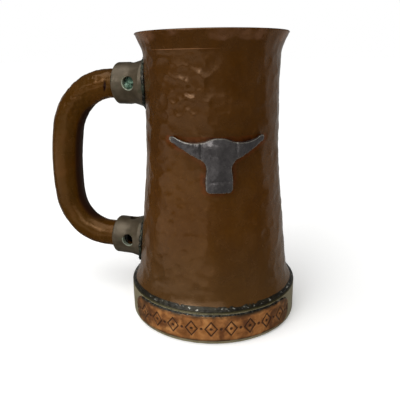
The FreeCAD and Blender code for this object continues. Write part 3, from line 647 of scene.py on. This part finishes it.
def shell_swell(azimuths, heights):
    """Broad unevenness of the shell's wall, fainter at the foot, with finer dents on the lip."""
    shape = (len(heights), len(azimuths))
    points = shell_points(np.full(shape, WAIST_RADIUS), heights, azimuths)
    swell = waves(points, 22 * MM, 5).reshape(shape) * 0.12 * MM
    swell += waves(points, 9 * MM, 6).reshape(shape) * 0.05 * MM
    swell *= (0.3 + 0.7 * smoothstep(heights, RING_TOP, FOOT_FADE))[:, None]
    lip = smoothstep(heights, 150 * MM, 154 * MM) * (1 - smoothstep(heights, 160 * MM, 163 * MM))
    return swell + waves(points, 6 * MM, 7).reshape(shape) * 0.09 * MM * lip[:, None]


def scribed_line(azimuths, heights):
    """The line scribed below the lip: 1 in it where it is plainest, 0 away from it."""
    plain = 0.15 + 0.85 * bell(degrees_apart(azimuths, SCRIBE_AZIMUTH), 0, 30)
    return bell(heights, SCRIBED_LINE, 0.17 * MM)[:, None] * plain[None, :]


def paint_inside(mesh, material):
    """Give the faces that look towards the mug's axis, below the rim, a material of their own."""
    mesh.materials.append(material)
    for polygon in mesh.polygons:
        middle = polygon.center
        inward = polygon.normal.x * middle.x + polygon.normal.y * middle.y < 0
        if inward and middle.z < MUG_HEIGHT - SHELL_WALL / 2:
            polygon.material_index = 1


def make_shell():
    azimuths = np.arange(SHELL_COLUMNS) * 360 / SHELL_COLUMNS
    rim = SHELL_WALL / 2
    line_z = SCRIBED_LINE + np.array((-0.32, -0.16, 0.0, 0.16, 0.32)) * MM
    outer_z = np.arange(SHELL_BOTTOM, MUG_HEIGHT - rim, SHELL_STEP)
    outer_z = np.sort(np.concatenate([outer_z, line_z]))
    inner_z = np.arange(SHELL_BOTTOM, MUG_HEIGHT - rim, INNER_STEP)[::-1]
    uneven = hammer_relief(azimuths, outer_z) + shell_swell(azimuths, outer_z)
    scribe = scribed_line(azimuths, outer_z)
    outer = outer_radius(outer_z)[:, None] + uneven - scribe * SCRIBE_DEPTH
    turn = np.linspace(0, math.pi, 9)
    rim_z = MUG_HEIGHT - rim + rim * np.sin(turn)
    rim_radius = (RIM_RADIUS - rim + rim * np.cos(turn))[:, None]
    rim_radius = np.broadcast_to(rim_radius, (len(turn), SHELL_COLUMNS))
    inside = np.stack([np.interp(inner_z, outer_z, column) for column in uneven.T], axis=1)
    inner = outer_radius(inner_z)[:, None] - SHELL_WALL + inside * 0.7
    heights = np.concatenate([outer_z, rim_z, inner_z])
    points = shell_points(np.concatenate([outer, rim_radius, inner]), heights, azimuths)
    unmarked = np.zeros(points.shape[0] - outer.size)
    fields = {
        # Stain round the badge, with a painted shadow at its edge.
        "stain_and_shade": np.concatenate([badge_soil_and_shade(points[:outer.size]), unmarked]),
        "scribe": np.concatenate([scribe.ravel(), unmarked]),
    }
    faces = grid_faces(len(heights), SHELL_COLUMNS)
    mesh = make_mesh("hammered_shell", points, faces, fields)
    piece = place(mesh, "hammered_shell", "body_shell", shell_copper())
    paint_inside(mesh, inner_copper())
    return piece


def badge_soil_and_shade(points):
    """Brown stain on the shell that has crept out from under the steer's head, with a painted shadow
    darkest at the head's edge.
    """
    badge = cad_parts["steer_head_badge"]
    tree = BVHTree.FromObject(badge, bpy.context.evaluated_depsgraph_get())
    stain_and_shade = np.zeros(len(points))
    reach = 4 * MM
    heights = points[:, 2]
    level = (heights > low("steer_head_badge").z - reach) & (heights < high("steer_head_badge").z)
    for i in np.nonzero(level & (points[:, 1] < 0))[0]:
        distance = tree.find_nearest(Vector(points[i]), reach)[3]
        if distance is not None:
            stain_and_shade[i] = 1 - distance / reach
    return stain_and_shade


# ---- ring, disc, solder round the mug's axis ----

def lathe(profile, columns, layers):
    """A closed profile of (radius, height) turned about the mug's axis, roughened."""
    profile = np.array(profile)
    azimuths = np.arange(columns) * 360 / columns
    radius = np.broadcast_to(profile[:, :1], (len(profile), columns))
    points = shell_points(radius, profile[:, 1], azimuths)
    mesh = make_mesh("turned", points, grid_faces(len(profile), columns))
    roughen(mesh, layers)
    return mesh


def subdivide(corners, step):
    """Points along a closed outline, about a step apart."""
    points = []
    for (x0, z0), (x1, z1) in zip(corners, corners[1:] + corners[:1]):
        count = max(1, round(math.hypot(x1 - x0, z1 - z0) / step))
        points += [(x0 + (x1 - x0) * i / count, z0 + (z1 - z0) * i / count) for i in range(count)]
    return points


def rounded_corner(x, z, radius, start, steps=5):
    """Quarter round inside a corner at (x, z), turning anticlockwise from an angle in degrees."""
    centre_x = x - radius * math.copysign(1, math.cos(math.radians(start + 45)))
    centre_z = z - radius * math.copysign(1, math.sin(math.radians(start + 45)))
    angles = [math.radians(start + 90 * i / steps) for i in range(steps + 1)]
    return [(centre_x + radius * math.cos(a), centre_z + radius * math.sin(a)) for a in angles]


def stand_on_floor(mesh):
    """Nothing of the mug dips below the floor that it stands on."""
    points = vertex_array(mesh)
    points[:, 2] = np.maximum(points[:, 2], 0)
    move_vertices(mesh, points)


def make_ring():
    edge = 0.8 * MM
    bore = PLATE_RADIUS + 0.1 * MM
    outside = RING_RADIUS - 0.05 * MM
    bottom = 0.05 * MM
    corners = rounded_corner(outside, bottom, edge, -90) + rounded_corner(outside, RING_TOP, edge, 0)
    corners += [(bore, RING_TOP), (bore, bottom)]
    profile = subdivide(corners, 1.2 * MM)
    mesh = lathe(profile, 480, [(30 * MM, 0.012 * MM, 21), (5 * MM, 0.012 * MM, 22)])
    stand_on_floor(mesh)
    return place(mesh, "brass_ring", "base_ring", aged_brass())


def make_foot_bead():
    """Solder on the ring's top, up the shell's foot: fat in front, thin at the sides, with a ridge."""
    columns = 900
    azimuths = np.arange(columns) * 360 / columns
    front = bell(degrees_apart(azimuths, PLAQUE_AZIMUTH), 0, 62)
    top = RING_TOP + (1.1 + 1.1 * front) * MM
    toe = RING_RADIUS - 0.5 * MM
    share = np.linspace(0, 1, 9)[:, None]
    z = RING_TOP - 0.03 * MM + (top - RING_TOP) * share
    radius = toe + (outer_radius(top) - toe) * share
    radius = radius - 0.35 * MM * np.sin(math.pi * share) + 0.55 * MM * bell(share, 0.45, 0.13)
    back_z = z[::-1]
    back_radius = outer_radius(back_z) - 0.15 * MM
    face = shell_points(radius, z, azimuths)
    back = shell_points(back_radius, back_z, azimuths)
    ridge = np.concatenate([bell(share, 0.45, 0.2) * np.ones_like(azimuths), np.zeros(back_z.shape)])
    faces = grid_faces(2 * len(share), columns)
    mesh = make_mesh("foot_bead", np.concatenate([face, back]), faces, {"ridge": ridge.ravel()})
    roughen(mesh, [(7 * MM, 0.05 * MM, 91), (1.8 * MM, 0.05 * MM, 92)])
    return place(mesh, "foot_bead", "foot_solder", ridge_solder())


def make_floor_bead():
    """Solder fillet inside, in the corner of the disc and the ring."""
    corner = PLATE_RADIUS + 0.05 * MM
    base = PLATE_TOP - 0.05 * MM
    leg = 1.6 * MM
    turns = [math.pi / 2 * i / 8 for i in range(9)]
    face = [(corner - leg * (1 - math.sin(a)), base + leg * (1 - math.cos(a))) for a in turns]
    mesh = lathe([(corner, base)] + face, 480, [(6 * MM, 0.08 * MM, 95), (1.8 * MM, 0.06 * MM, 96)])
    return place(mesh, "floor_bead", "base_plate_solder", SOLDER)


def make_disc():
    """The bottom: a flat disc, slightly uneven."""
    rings = 30
    top = [(PLATE_RADIUS * i / rings, PLATE_TOP - 0.02 * MM) for i in range(rings, -1, -1)]
    bottom = [(PLATE_RADIUS * i / rings, 0.1 * MM) for i in range(rings + 1)]
    mesh = lathe(top + bottom, 240, [(14 * MM, 0.03 * MM, 31)])
    stand_on_floor(mesh)
    return place(mesh, "bottom_disc", "base_plate", plate_copper())


# ---- plaque ----

PLAQUE_BACK = RING_RADIUS + 0.1 * MM
PLAQUE_THICKNESS = 0.95 * MM
PLAQUE_CORNER = 6.0 * MM
MARK_DEPTH = 0.28 * MM
MOTIF_PITCH = 11.0 * MM
LOZENGE_HALF_WIDTH = 3.3 * MM
LOZENGE_HALF_HEIGHT = 4.2 * MM
LINE_HALF_WIDTH = 0.5 * MM
DOT_RADIUS = 0.9 * MM


def plaque_marks(across, up):
    """Punched border of outlined lozenges with dots between: 1 in a mark, 0 outside."""
    place_in_row = (across + MOTIF_PITCH / 2) % MOTIF_PITCH - MOTIF_PITCH / 2
    shape = abs(place_in_row) / LOZENGE_HALF_WIDTH + abs(up) / LOZENGE_HALF_HEIGHT
    slope = math.hypot(1 / LOZENGE_HALF_WIDTH, 1 / LOZENGE_HALF_HEIGHT)
    outline = 1 - smoothstep(abs(shape - 1) / slope, LINE_HALF_WIDTH * 0.5, LINE_HALF_WIDTH * 1.2)
    between = across % MOTIF_PITCH - MOTIF_PITCH / 2
    from_dot = np.minimum(np.hypot(between, up), np.hypot(place_in_row, up))
    dot = 1 - smoothstep(from_dot, DOT_RADIUS * 0.7, DOT_RADIUS * 1.2)
    return np.maximum(outline, dot)


def grid_outline(rows, columns):
    """The vertices round the edge of a grid, in order."""
    first_row = np.arange(columns)
    last_column = (np.arange(1, rows) + 1) * columns - 1
    last_row = (rows - 1) * columns + np.arange(columns - 2, -1, -1)
    first_column = np.arange(rows - 2, 0, -1) * columns
    return np.concatenate([first_row, last_column, last_row, first_column])


def make_plaque():
    """A strip with round corners, drawn flat (across and up) and wrapped round the ring."""
    bottom, top = low("base_plaque").z, high("base_plaque").z
    front_radius = PLAQUE_BACK + PLAQUE_THICKNESS
    half_length = math.radians(PLAQUE_ARC / 2) * front_radius
    half_height = (top - bottom) / 2
    across = np.linspace(-half_length, half_length, 440)
    share = np.linspace(-1, 1, 63)
    inset = np.clip(PLAQUE_CORNER - (half_length - abs(across)), 0, PLAQUE_CORNER)
    reach = half_height - PLAQUE_CORNER + np.sqrt(PLAQUE_CORNER ** 2 - inset ** 2)
    up = share[:, None] * reach[None, :]
    side = np.broadcast_to(across, up.shape)
    flat = np.stack([side.ravel(), up.ravel(), np.zeros(up.size)], axis=1)
    marks = plaque_marks(side, up)
    from_end = half_length - abs(side)
    edge = np.minimum((1 - abs(share))[:, None] * reach[None, :], from_end + 0.3 * MM)
    rounding = 0.35 * MM * (1 - np.clip(edge / (0.9 * MM), 0, 1)) ** 2
    wave = waves(flat, 9 * MM, 41).reshape(up.shape) * 0.05 * MM
    wave = np.clip(wave, -0.1 * MM, 0.1 * MM)
    front = front_radius - 0.12 * MM - marks * MARK_DEPTH - rounding + wave
    middle = (top + bottom) / 2
    turn = np.radians(PLAQUE_AZIMUTH) + side / front_radius

    def wrap(radius):
        x = radius * np.cos(turn)
        y = radius * np.sin(turn)
        return np.stack([x, y, middle + up], axis=2).reshape(-1, 3)

    count = up.size
    face = grid_faces(*up.shape, closed=False)
    outline = grid_outline(*up.shape)
    after = np.roll(outline, -1)
    wall = np.stack([outline, after, after + count, outline + count], axis=1)
    points = np.concatenate([wrap(front), wrap(np.full(up.shape, PLAQUE_BACK))])
    faces = np.concatenate([face, face[:, ::-1] + count, wall])
    edge_grime = 1 - smoothstep(edge, 0, 2.2 * MM)
    end_grime = 0.75 * (1 - smoothstep(from_end, 4 * MM, 24 * MM))
    grime = np.maximum(edge_grime, end_grime)
    fields = {
        "mark": np.concatenate([marks.ravel(), np.zeros(count)]),
        "grime": np.concatenate([grime.ravel(), np.ones(count)]),
    }
    mesh = make_mesh("copper_plaque", points, faces, fields)
    return place(mesh, "copper_plaque", "base_plaque", bare_copper())


# ---- handle ----

def arc_points(centre, radius, start, end, step):
    """Points on a circle from one angle to another, in radians."""
    count = max(2, round(abs(end - start) * radius / step))
    angles = np.linspace(start, end, count, endpoint=False)
    return [(centre[0] + radius * math.cos(a), centre[1] + radius * math.sin(a)) for a in angles]


def handle_route(step):
    """Centre line in the XZ plane from inside the upper socket to inside the lower one."""
    run = 3.5 * MM
    reach = HANDLE_FARTHEST - HANDLE_MIDDLE_RADIUS
    upper = (-UPPER_MOUTH - run, UPPER_AXIS - UPPER_BEND)
    long_x = LONG_BEND - reach
    long_z = upper[1] - math.sqrt((LONG_BEND - UPPER_BEND) ** 2 - (upper[0] - long_x) ** 2)
    lower_z = LOWER_AXIS + LOWER_BEND
    lower_x = long_x - math.sqrt((LONG_BEND - LOWER_BEND) ** 2 - (long_z - lower_z) ** 2)
    upper_turn = math.atan2(upper[1] - long_z, upper[0] - long_x)
    lower_turn = math.atan2(lower_z - long_z, lower_x - long_x) % (2 * math.pi)
    top_inside = -UPPER_MOUTH + SOCKET_GRIP
    count = round((top_inside - upper[0]) / step)
    points = [(top_inside + (upper[0] - top_inside) * i / count, UPPER_AXIS) for i in range(count)]
    points += arc_points(upper, UPPER_BEND, math.pi / 2, upper_turn, step)
    points += arc_points((long_x, long_z), LONG_BEND, upper_turn, lower_turn, step)
    points += arc_points((lower_x, lower_z), LOWER_BEND, lower_turn, math.pi * 1.5, step)
    bottom_inside = -LOWER_MOUTH + SOCKET_GRIP
    count = round((bottom_inside - lower_x) / step)
    points += [(lower_x + (bottom_inside - lower_x) * i / count, LOWER_AXIS) for i in range(count + 1)]
    return np.array(points)


def handle_radius(share):
    """The tube's radius along its length: fattest in the middle, changing softly."""
    stations = (0.0, 0.14, 0.30, 0.42, 0.60, 0.76, 0.86, 1.0)
    radii = np.array((8.5, 8.75, 9.45, 9.8, 9.6, 9.2, 8.5, 8.1)) * MM
    window = 25
    padded = np.pad(np.interp(share, stations, radii), window // 2, mode="edge")
    return np.convolve(padded, np.ones(window) / window, mode="valid")


def handle_crease(share, around):
    """Short fold across the front of the tube, near the upper socket, with painted shade in it: 1 in it,
    0 outside.
    """
    middle_turn = -10
    half_turn = 26
    front = degrees_apart(np.degrees(around), 270)[None, :]
    out = (front - middle_turn) / half_turn
    middle = 0.130 - 0.006 * out + 0.004 * out ** 2
    return bell(share[:, None], middle, 0.006) * bell(front, middle_turn, half_turn)


def painted_inner_shade(share, around):
    """1 along the handle's inner side, which gets painted shade and is duller, 0 elsewhere."""
    inner_side = smoothstep(-np.cos(around), 0.80, 1.0)[None, :]
    middle = smoothstep(share, 0.2, 0.3) * (1 - smoothstep(share, 0.75, 0.88))
    return inner_side * middle[:, None]


def make_handle():
    route = handle_route(0.7 * MM)
    tangent = np.gradient(route, axis=0)
    tangent /= np.linalg.norm(tangent, axis=1)[:, None]
    outward = np.stack([tangent[:, 1], -tangent[:, 0]], axis=1)
    length = np.concatenate([[0], np.cumsum(np.linalg.norm(np.diff(route, axis=0), axis=1))])
    share = length / length[-1]
    columns = 96
    around = np.arange(columns) * 2 * math.pi / columns
    shape = (len(route), columns)
    radius = handle_radius(share)[:, None]

    def tube(size):
        x = route[:, None, 0] + size * outward[:, None, 0] * np.cos(around)
        z = route[:, None, 1] + size * outward[:, None, 1] * np.cos(around)
        y = size * np.sin(around) * np.ones(len(route))[:, None]
        return np.stack([x, y, z], axis=2)

    plain = tube(np.broadcast_to(radius, shape)).reshape(-1, 3)
    swell = waves(plain, 12 * MM, 51).reshape(shape) * 0.09 * MM
    lumps = np.minimum(waves(plain, 3.4 * MM, 52).reshape(shape), 0.5) * 0.06 * MM
    upper_bend = bell(share, 0.25, 0.12)[:, None]
    crease = handle_crease(share, around)
    size = radius + swell + lumps * (0.5 + 1.8 * upper_bend) - crease * 0.5 * MM
    size = np.minimum(size, HANDLE_MIDDLE_RADIUS + 0.05 * MM)
    outer = tube(size)
    outer[:, :, 0] = np.maximum(outer[:, :, 0], -HANDLE_FARTHEST + 0.02 * MM)
    inner = tube(np.broadcast_to(radius - HANDLE_WALL, shape))
    points = np.concatenate([outer, inner[::-1]]).reshape(-1, 3)
    faces = grid_faces(2 * len(route), columns)
    fields = {
        # Painted shade along the inner side and through the bore.
        "inner_shade": np.concatenate([painted_inner_shade(share, around), np.ones(shape)]).ravel(),
        "crease": np.concatenate([crease, np.zeros(shape)]).ravel(),
    }
    mesh = make_mesh("tube_handle", points, faces, fields)
    hole = (-LOWER_MOUTH + HOLE_INSET, 0, LOWER_AXIS)
    mesh = drill(mesh, hole, LOWER_SOCKET_TURN, HANDLE_HOLE_RADIUS)
    return place(mesh, "tube_handle", "handle_tube", handle_copper())


def drill(mesh, axis_point, turn, radius):
    """The mesh with a round hole through its front wall, towards -Y."""
    body = add_object("scratch", mesh)
    bit_mesh = bpy.data.meshes.new("bit")
    bit_length = 20 * MM
    bit = bmesh.new()
    bmesh.ops.create_cone(
        bit, cap_ends=True, segments=48, radius1=radius, radius2=radius, depth=bit_length)
    bit.to_mesh(bit_mesh)
    bit.free()
    bit_mesh.transform(Matrix.Translation((0, 0, bit_length / 2)))
    bit_mesh.transform(Matrix.Rotation(math.pi / 2 - turn, 4, "X"))
    bit_mesh.transform(Matrix.Translation(axis_point))
    cutter = add_object("bit", bit_mesh)
    cut = body.modifiers.new("drill", "BOOLEAN")
    cut.operation = "DIFFERENCE"
    cut.solver = "EXACT"
    cut.object = cutter
    result = apply_modifiers(body)
    bpy.data.objects.remove(cutter)
    return result


# ---- sockets, solder and badge ----

def lit_hole_wall(points, mouth, axis_z, turn):
    """1 on the lower wall of a socket's front hole, where a pale highlight is painted."""
    across = points[:, 0] + mouth - HOLE_INSET
    up = points[:, 2] - axis_z + np.tan(turn) * points[:, 1]
    beyond = np.hypot(across, up) - SOCKET_HOLE_RADIUS
    near = 1 - smoothstep(beyond, 0.1 * MM, 0.7 * MM)
    low_left = smoothstep(-up - 0.5 * across, -0.5 * MM, 1.5 * MM)
    return near * low_left * (points[:, 1] < -SOCKET_BORE_RADIUS)


def make_socket(where, mouth, axis_z, turn):
    mesh = cast_copy(f"{where}_socket", 0.24 * MM, 2)
    # Marks the hole's lower wall for a painted highlight.
    set_field(mesh, "hole", lit_hole_wall(vertex_array(mesh), mouth, axis_z, turn))
    roughen(mesh, [(9 * MM, 0.03 * MM, 61), (2.5 * MM, 0.01 * MM, 62)])
    return place(mesh, f"cast_{where}_socket", f"{where}_socket", BRONZE)


def make_lumpy(node, name, material, voxel, layers, softening=4):
    """A poured piece: a node's shape with soft edges, made uneven by layers as in roughen."""
    mesh = cast_copy(node, voxel, softening)
    roughen(mesh, layers)
    return place(mesh, name, node, material)


def sculpt_badge(across, z, facing):
    """Rise of the steer's head along its normals; all lengths here are in mm."""
    crown = 1.5 * bell(across, -0.5, 5.6) * bell(z, 107.6, 3.2)
    brow = -0.5 * bell(abs(across), 8.6, 0.8) * bell(z, 106, 4.5)
    root = 0.7 * bell(abs(across), 11.5, 2.4) * bell(z, 107.2, 2.6)
    wrinkles = 0.10 * np.sin(abs(across) * 2 * math.pi / 2.3) * bell(abs(across), 12, 3.0)
    bridge = 0.7 * bell(across, 0, 3.4) * bell(z, 97, 7)
    muzzle = 0.35 * bell(across, 0, 5.5) * bell(z, 87.0, 2.2)
    crease = -0.35 * bell(z, 90.0 + 0.03 * across, 0.55) * bell(across, 0.5, 5)
    return (crown + brow + root + wrinkles + bridge + muzzle + crease) * facing


def make_badge():
    mesh = cast_copy("steer_head_badge", 0.34 * MM, 9)
    points = vertex_array(mesh)
    normals = normal_array(mesh)
    azimuth = np.degrees(np.arctan2(points[:, 1], points[:, 0]))
    badge_radius = 1.1 * WAIST_RADIUS
    across = np.radians(degrees_apart(azimuth, BADGE_AZIMUTH)) * badge_radius / MM
    outwards = points[:, :2] / np.hypot(points[:, 0], points[:, 1])[:, None]
    facing = np.clip((normals[:, :2] * outwards).sum(axis=1), 0, 1)
    rise = sculpt_badge(across, points[:, 2] / MM, facing) * MM
    moved = points + normals * rise[:, None]
    out = np.hypot(moved[:, 0], moved[:, 1])
    shell = outer_radius(moved[:, 2]) + 0.4 * MM
    thin = 1 - 0.45 * smoothstep(abs(across), 9, 30)
    moved[:, :2] *= ((shell + (out - shell) * thin) / out)[:, None]
    move_vertices(mesh, moved)
    roughen(mesh, [(5 * MM, 0.05 * MM, 71), (2.2 * MM, 0.03 * MM, 72)])
    # Where the head's surface turns sideways, for the pewter's wear and painted rim highlight.
    set_field(mesh, "edge", bell(facing, 0.56, 0.25))
    return place(mesh, "steer_head", "steer_head_badge", pewter())


BRONZE = cast_bronze()
SOLDER = grey_solder()

make_shell()
make_ring()
make_disc()
make_plaque()
make_handle()
make_badge()
for where, mouth, axis_z, turn in (
        ("upper", UPPER_MOUTH, UPPER_AXIS, UPPER_SOCKET_TURN),
        ("lower", LOWER_MOUTH, LOWER_AXIS, LOWER_SOCKET_TURN)):
    make_socket(where, mouth, axis_z, turn)
    joint = grey_solder(f"{where}_joint", 0.5)
    make_lumpy(f"{where}_socket_solder", f"{where}_joint_solder", joint, 0.3 * MM,
               [(4 * MM, 0.14 * MM, 81), (1.6 * MM, 0.12 * MM, 82)])
    make_lumpy(f"{where}_handle_solder", f"{where}_mouth_solder", SOLDER, 0.2 * MM,
               [(2 * MM, 0.03 * MM, 83)], softening=1)
make_lumpy("badge_solder", "badge_back_solder", SOLDER, 0.2 * MM,
           [(2 * MM, 0.03 * MM, 84)], softening=1)
make_lumpy("plaque_solder", "plaque_edge_solder", SOLDER, 0.18 * MM,
           [(3 * MM, 0.08 * MM, 85), (1.2 * MM, 0.05 * MM, 86)], softening=2)
make_lumpy("upper_socket_plug", "hole_crust", verdigris(), 0.2 * MM,
           [(2 * MM, 0.2 * MM, 87), (0.9 * MM, 0.08 * MM, 88)], softening=3)
make_foot_bead()
make_floor_bead()


# ---- floor, light and camera ----

FLOOR_HALF = 40.0
FLOOR_GLOW = 0.12
# The white surroundings: how bright they are in view, in the mug's gloss, and as its light.
WORLD_SEEN = 1.0
WORLD_GLOSS = 0.06
WORLD_FILL = 0.47
SKY_STRENGTH = 1.55
SKY_SPREAD = math.radians(55)
SKY_FROM = (-125, 66)
# Soft boxes: azimuth and elevation in degrees, distance, width, height, and radiance.
SOFT_BOXES = {
    "window_soft": (-108, 28, 1.0, 0.50, 0.30, 4.6),
    "front_soft": (-98, 19, 1.0, 1.5, 0.32, 1.4),
    "low_soft": (-122, -12, 1.0, 1.8, 0.32, 0.68),
    "right_soft": (59, -8, 0.9, 1.3, 0.7, 0.30),
    "left_soft": (140, -8, 0.9, 0.9, 0.7, 0.30),
}


def make_floor():
    """A white floor with a slight glow, as wide as the view."""
    half = FLOOR_HALF
    corners = [(-half, -half, 0), (half, -half, 0), (half, half, 0), (-half, half, 0)]
    mesh = bpy.data.meshes.new("floor")
    mesh.from_pydata(corners, [], [(0, 1, 2, 3)])
    floor = add_object("floor", mesh)
    paint = Paint("floor", metallic=0.0)
    paint.ramp(paint.noise(0.4), (0.3, (252, 252, 251)), (0.7, (255, 255, 254)))
    paint.set("Specular IOR Level", 0)
    paint.set("Emission Color", (1, 1, 1, 1))
    paint.set("Emission Strength", FLOOR_GLOW)
    mesh.materials.append(paint.finish(0.9, paint.bump(paint.noise(0.01), 0.02 * MM)))
    floor.visible_glossy = False


def direction(azimuth, elevation):
    """Unit vector towards an azimuth and an elevation, both in degrees."""
    turn, rise = math.radians(azimuth), math.radians(elevation)
    return Vector((math.cos(turn) * math.cos(rise), math.sin(turn) * math.cos(rise), math.sin(rise)))


def aim(light, out):
    """Turn a light so that it shines against a direction."""
    light.rotation_mode = "QUATERNION"
    light.rotation_quaternion = out.to_track_quat("Z", "Y")


def add_light(name, azimuth, elevation, distance, width, height, radiance):
    """Soft box aimed at the mug's middle, of one brightness whatever its size."""
    out = direction(azimuth, elevation)
    data = bpy.data.lights.new(name, "AREA")
    data.shape = "RECTANGLE"
    data.size = width
    data.size_y = height
    data.energy = radiance * math.pi * width * height
    light = add_object(name, data)
    light.location = Vector((0, 0, MUG_HEIGHT / 2)) + out * distance
    light.visible_camera = False
    aim(light, out)


def add_sky():
    """Broad light from above."""
    data = bpy.data.lights.new("sky_soft", "SUN")
    data.energy = SKY_STRENGTH
    data.angle = SKY_SPREAD
    aim(add_object("sky_soft", data), direction(*SKY_FROM))


def light_scene():
    """White surroundings that light the mug softly but hardly show in its gloss, and soft boxes."""
    world = bpy.data.worlds.new("studio")
    world.use_nodes = True
    nodes, links = world.node_tree.nodes, world.node_tree.links
    seen = nodes["Background"]
    gloss = nodes.new("ShaderNodeBackground")
    fill = nodes.new("ShaderNodeBackground")
    for background, strength in ((seen, WORLD_SEEN), (gloss, WORLD_GLOSS), (fill, WORLD_FILL)):
        background.inputs["Color"].default_value = (1, 1, 1, 1)
        background.inputs["Strength"].default_value = strength

    def mix(factor, first, second):
        node = nodes.new("ShaderNodeMixShader")
        for socket, output in zip(node.inputs, (factor, first, second)):
            links.new(output, socket)
        return node.outputs[0]

    ray = nodes.new("ShaderNodeLightPath").outputs
    by_gloss = mix(ray["Is Glossy Ray"], fill.outputs[0], gloss.outputs[0])
    by_camera = mix(ray["Is Camera Ray"], by_gloss, seen.outputs[0])
    links.new(by_camera, nodes["World Output"].inputs["Surface"])
    bpy.context.scene.world = world
    for name, numbers in SOFT_BOXES.items():
        add_light(name, *numbers)
    add_sky()


# The camera, fitted to the photo. Its azimuth, heading and pitch are in degrees, its lens in mm.
CAMERA_AZIMUTH = -72.81
CAMERA_DISTANCE = 264.7 * MM
CAMERA_HEIGHT = 149.3 * MM
CAMERA_HEADING = 108.84
CAMERA_PITCH = -17.24
CAMERA_ROLL = math.radians(-0.82)
CAMERA_LENS = 40.8
CAMERA_SENSOR = 36


def add_camera():
    data = bpy.data.cameras.new("camera")
    data.sensor_width = CAMERA_SENSOR
    data.lens = CAMERA_LENS
    data.clip_start = 0.01
    camera = add_object("camera", data)
    forward = direction(CAMERA_HEADING, CAMERA_PITCH)
    right = forward.cross(Vector((0, 0, 1))).normalized()
    up = right.cross(forward)
    rolled_right = math.cos(CAMERA_ROLL) * right + math.sin(CAMERA_ROLL) * up
    rolled_up = math.cos(CAMERA_ROLL) * up - math.sin(CAMERA_ROLL) * right
    turn = Matrix((rolled_right, rolled_up, -forward)).transposed()
    camera.rotation_mode = "QUATERNION"
    camera.rotation_quaternion = turn.to_quaternion()
    camera.location = direction(CAMERA_AZIMUTH, 0) * CAMERA_DISTANCE
    camera.location.z = CAMERA_HEIGHT
    bpy.context.scene.camera = camera


make_floor()
light_scene()
add_camera()
bpy.context.scene.view_settings.view_transform = "Standard"
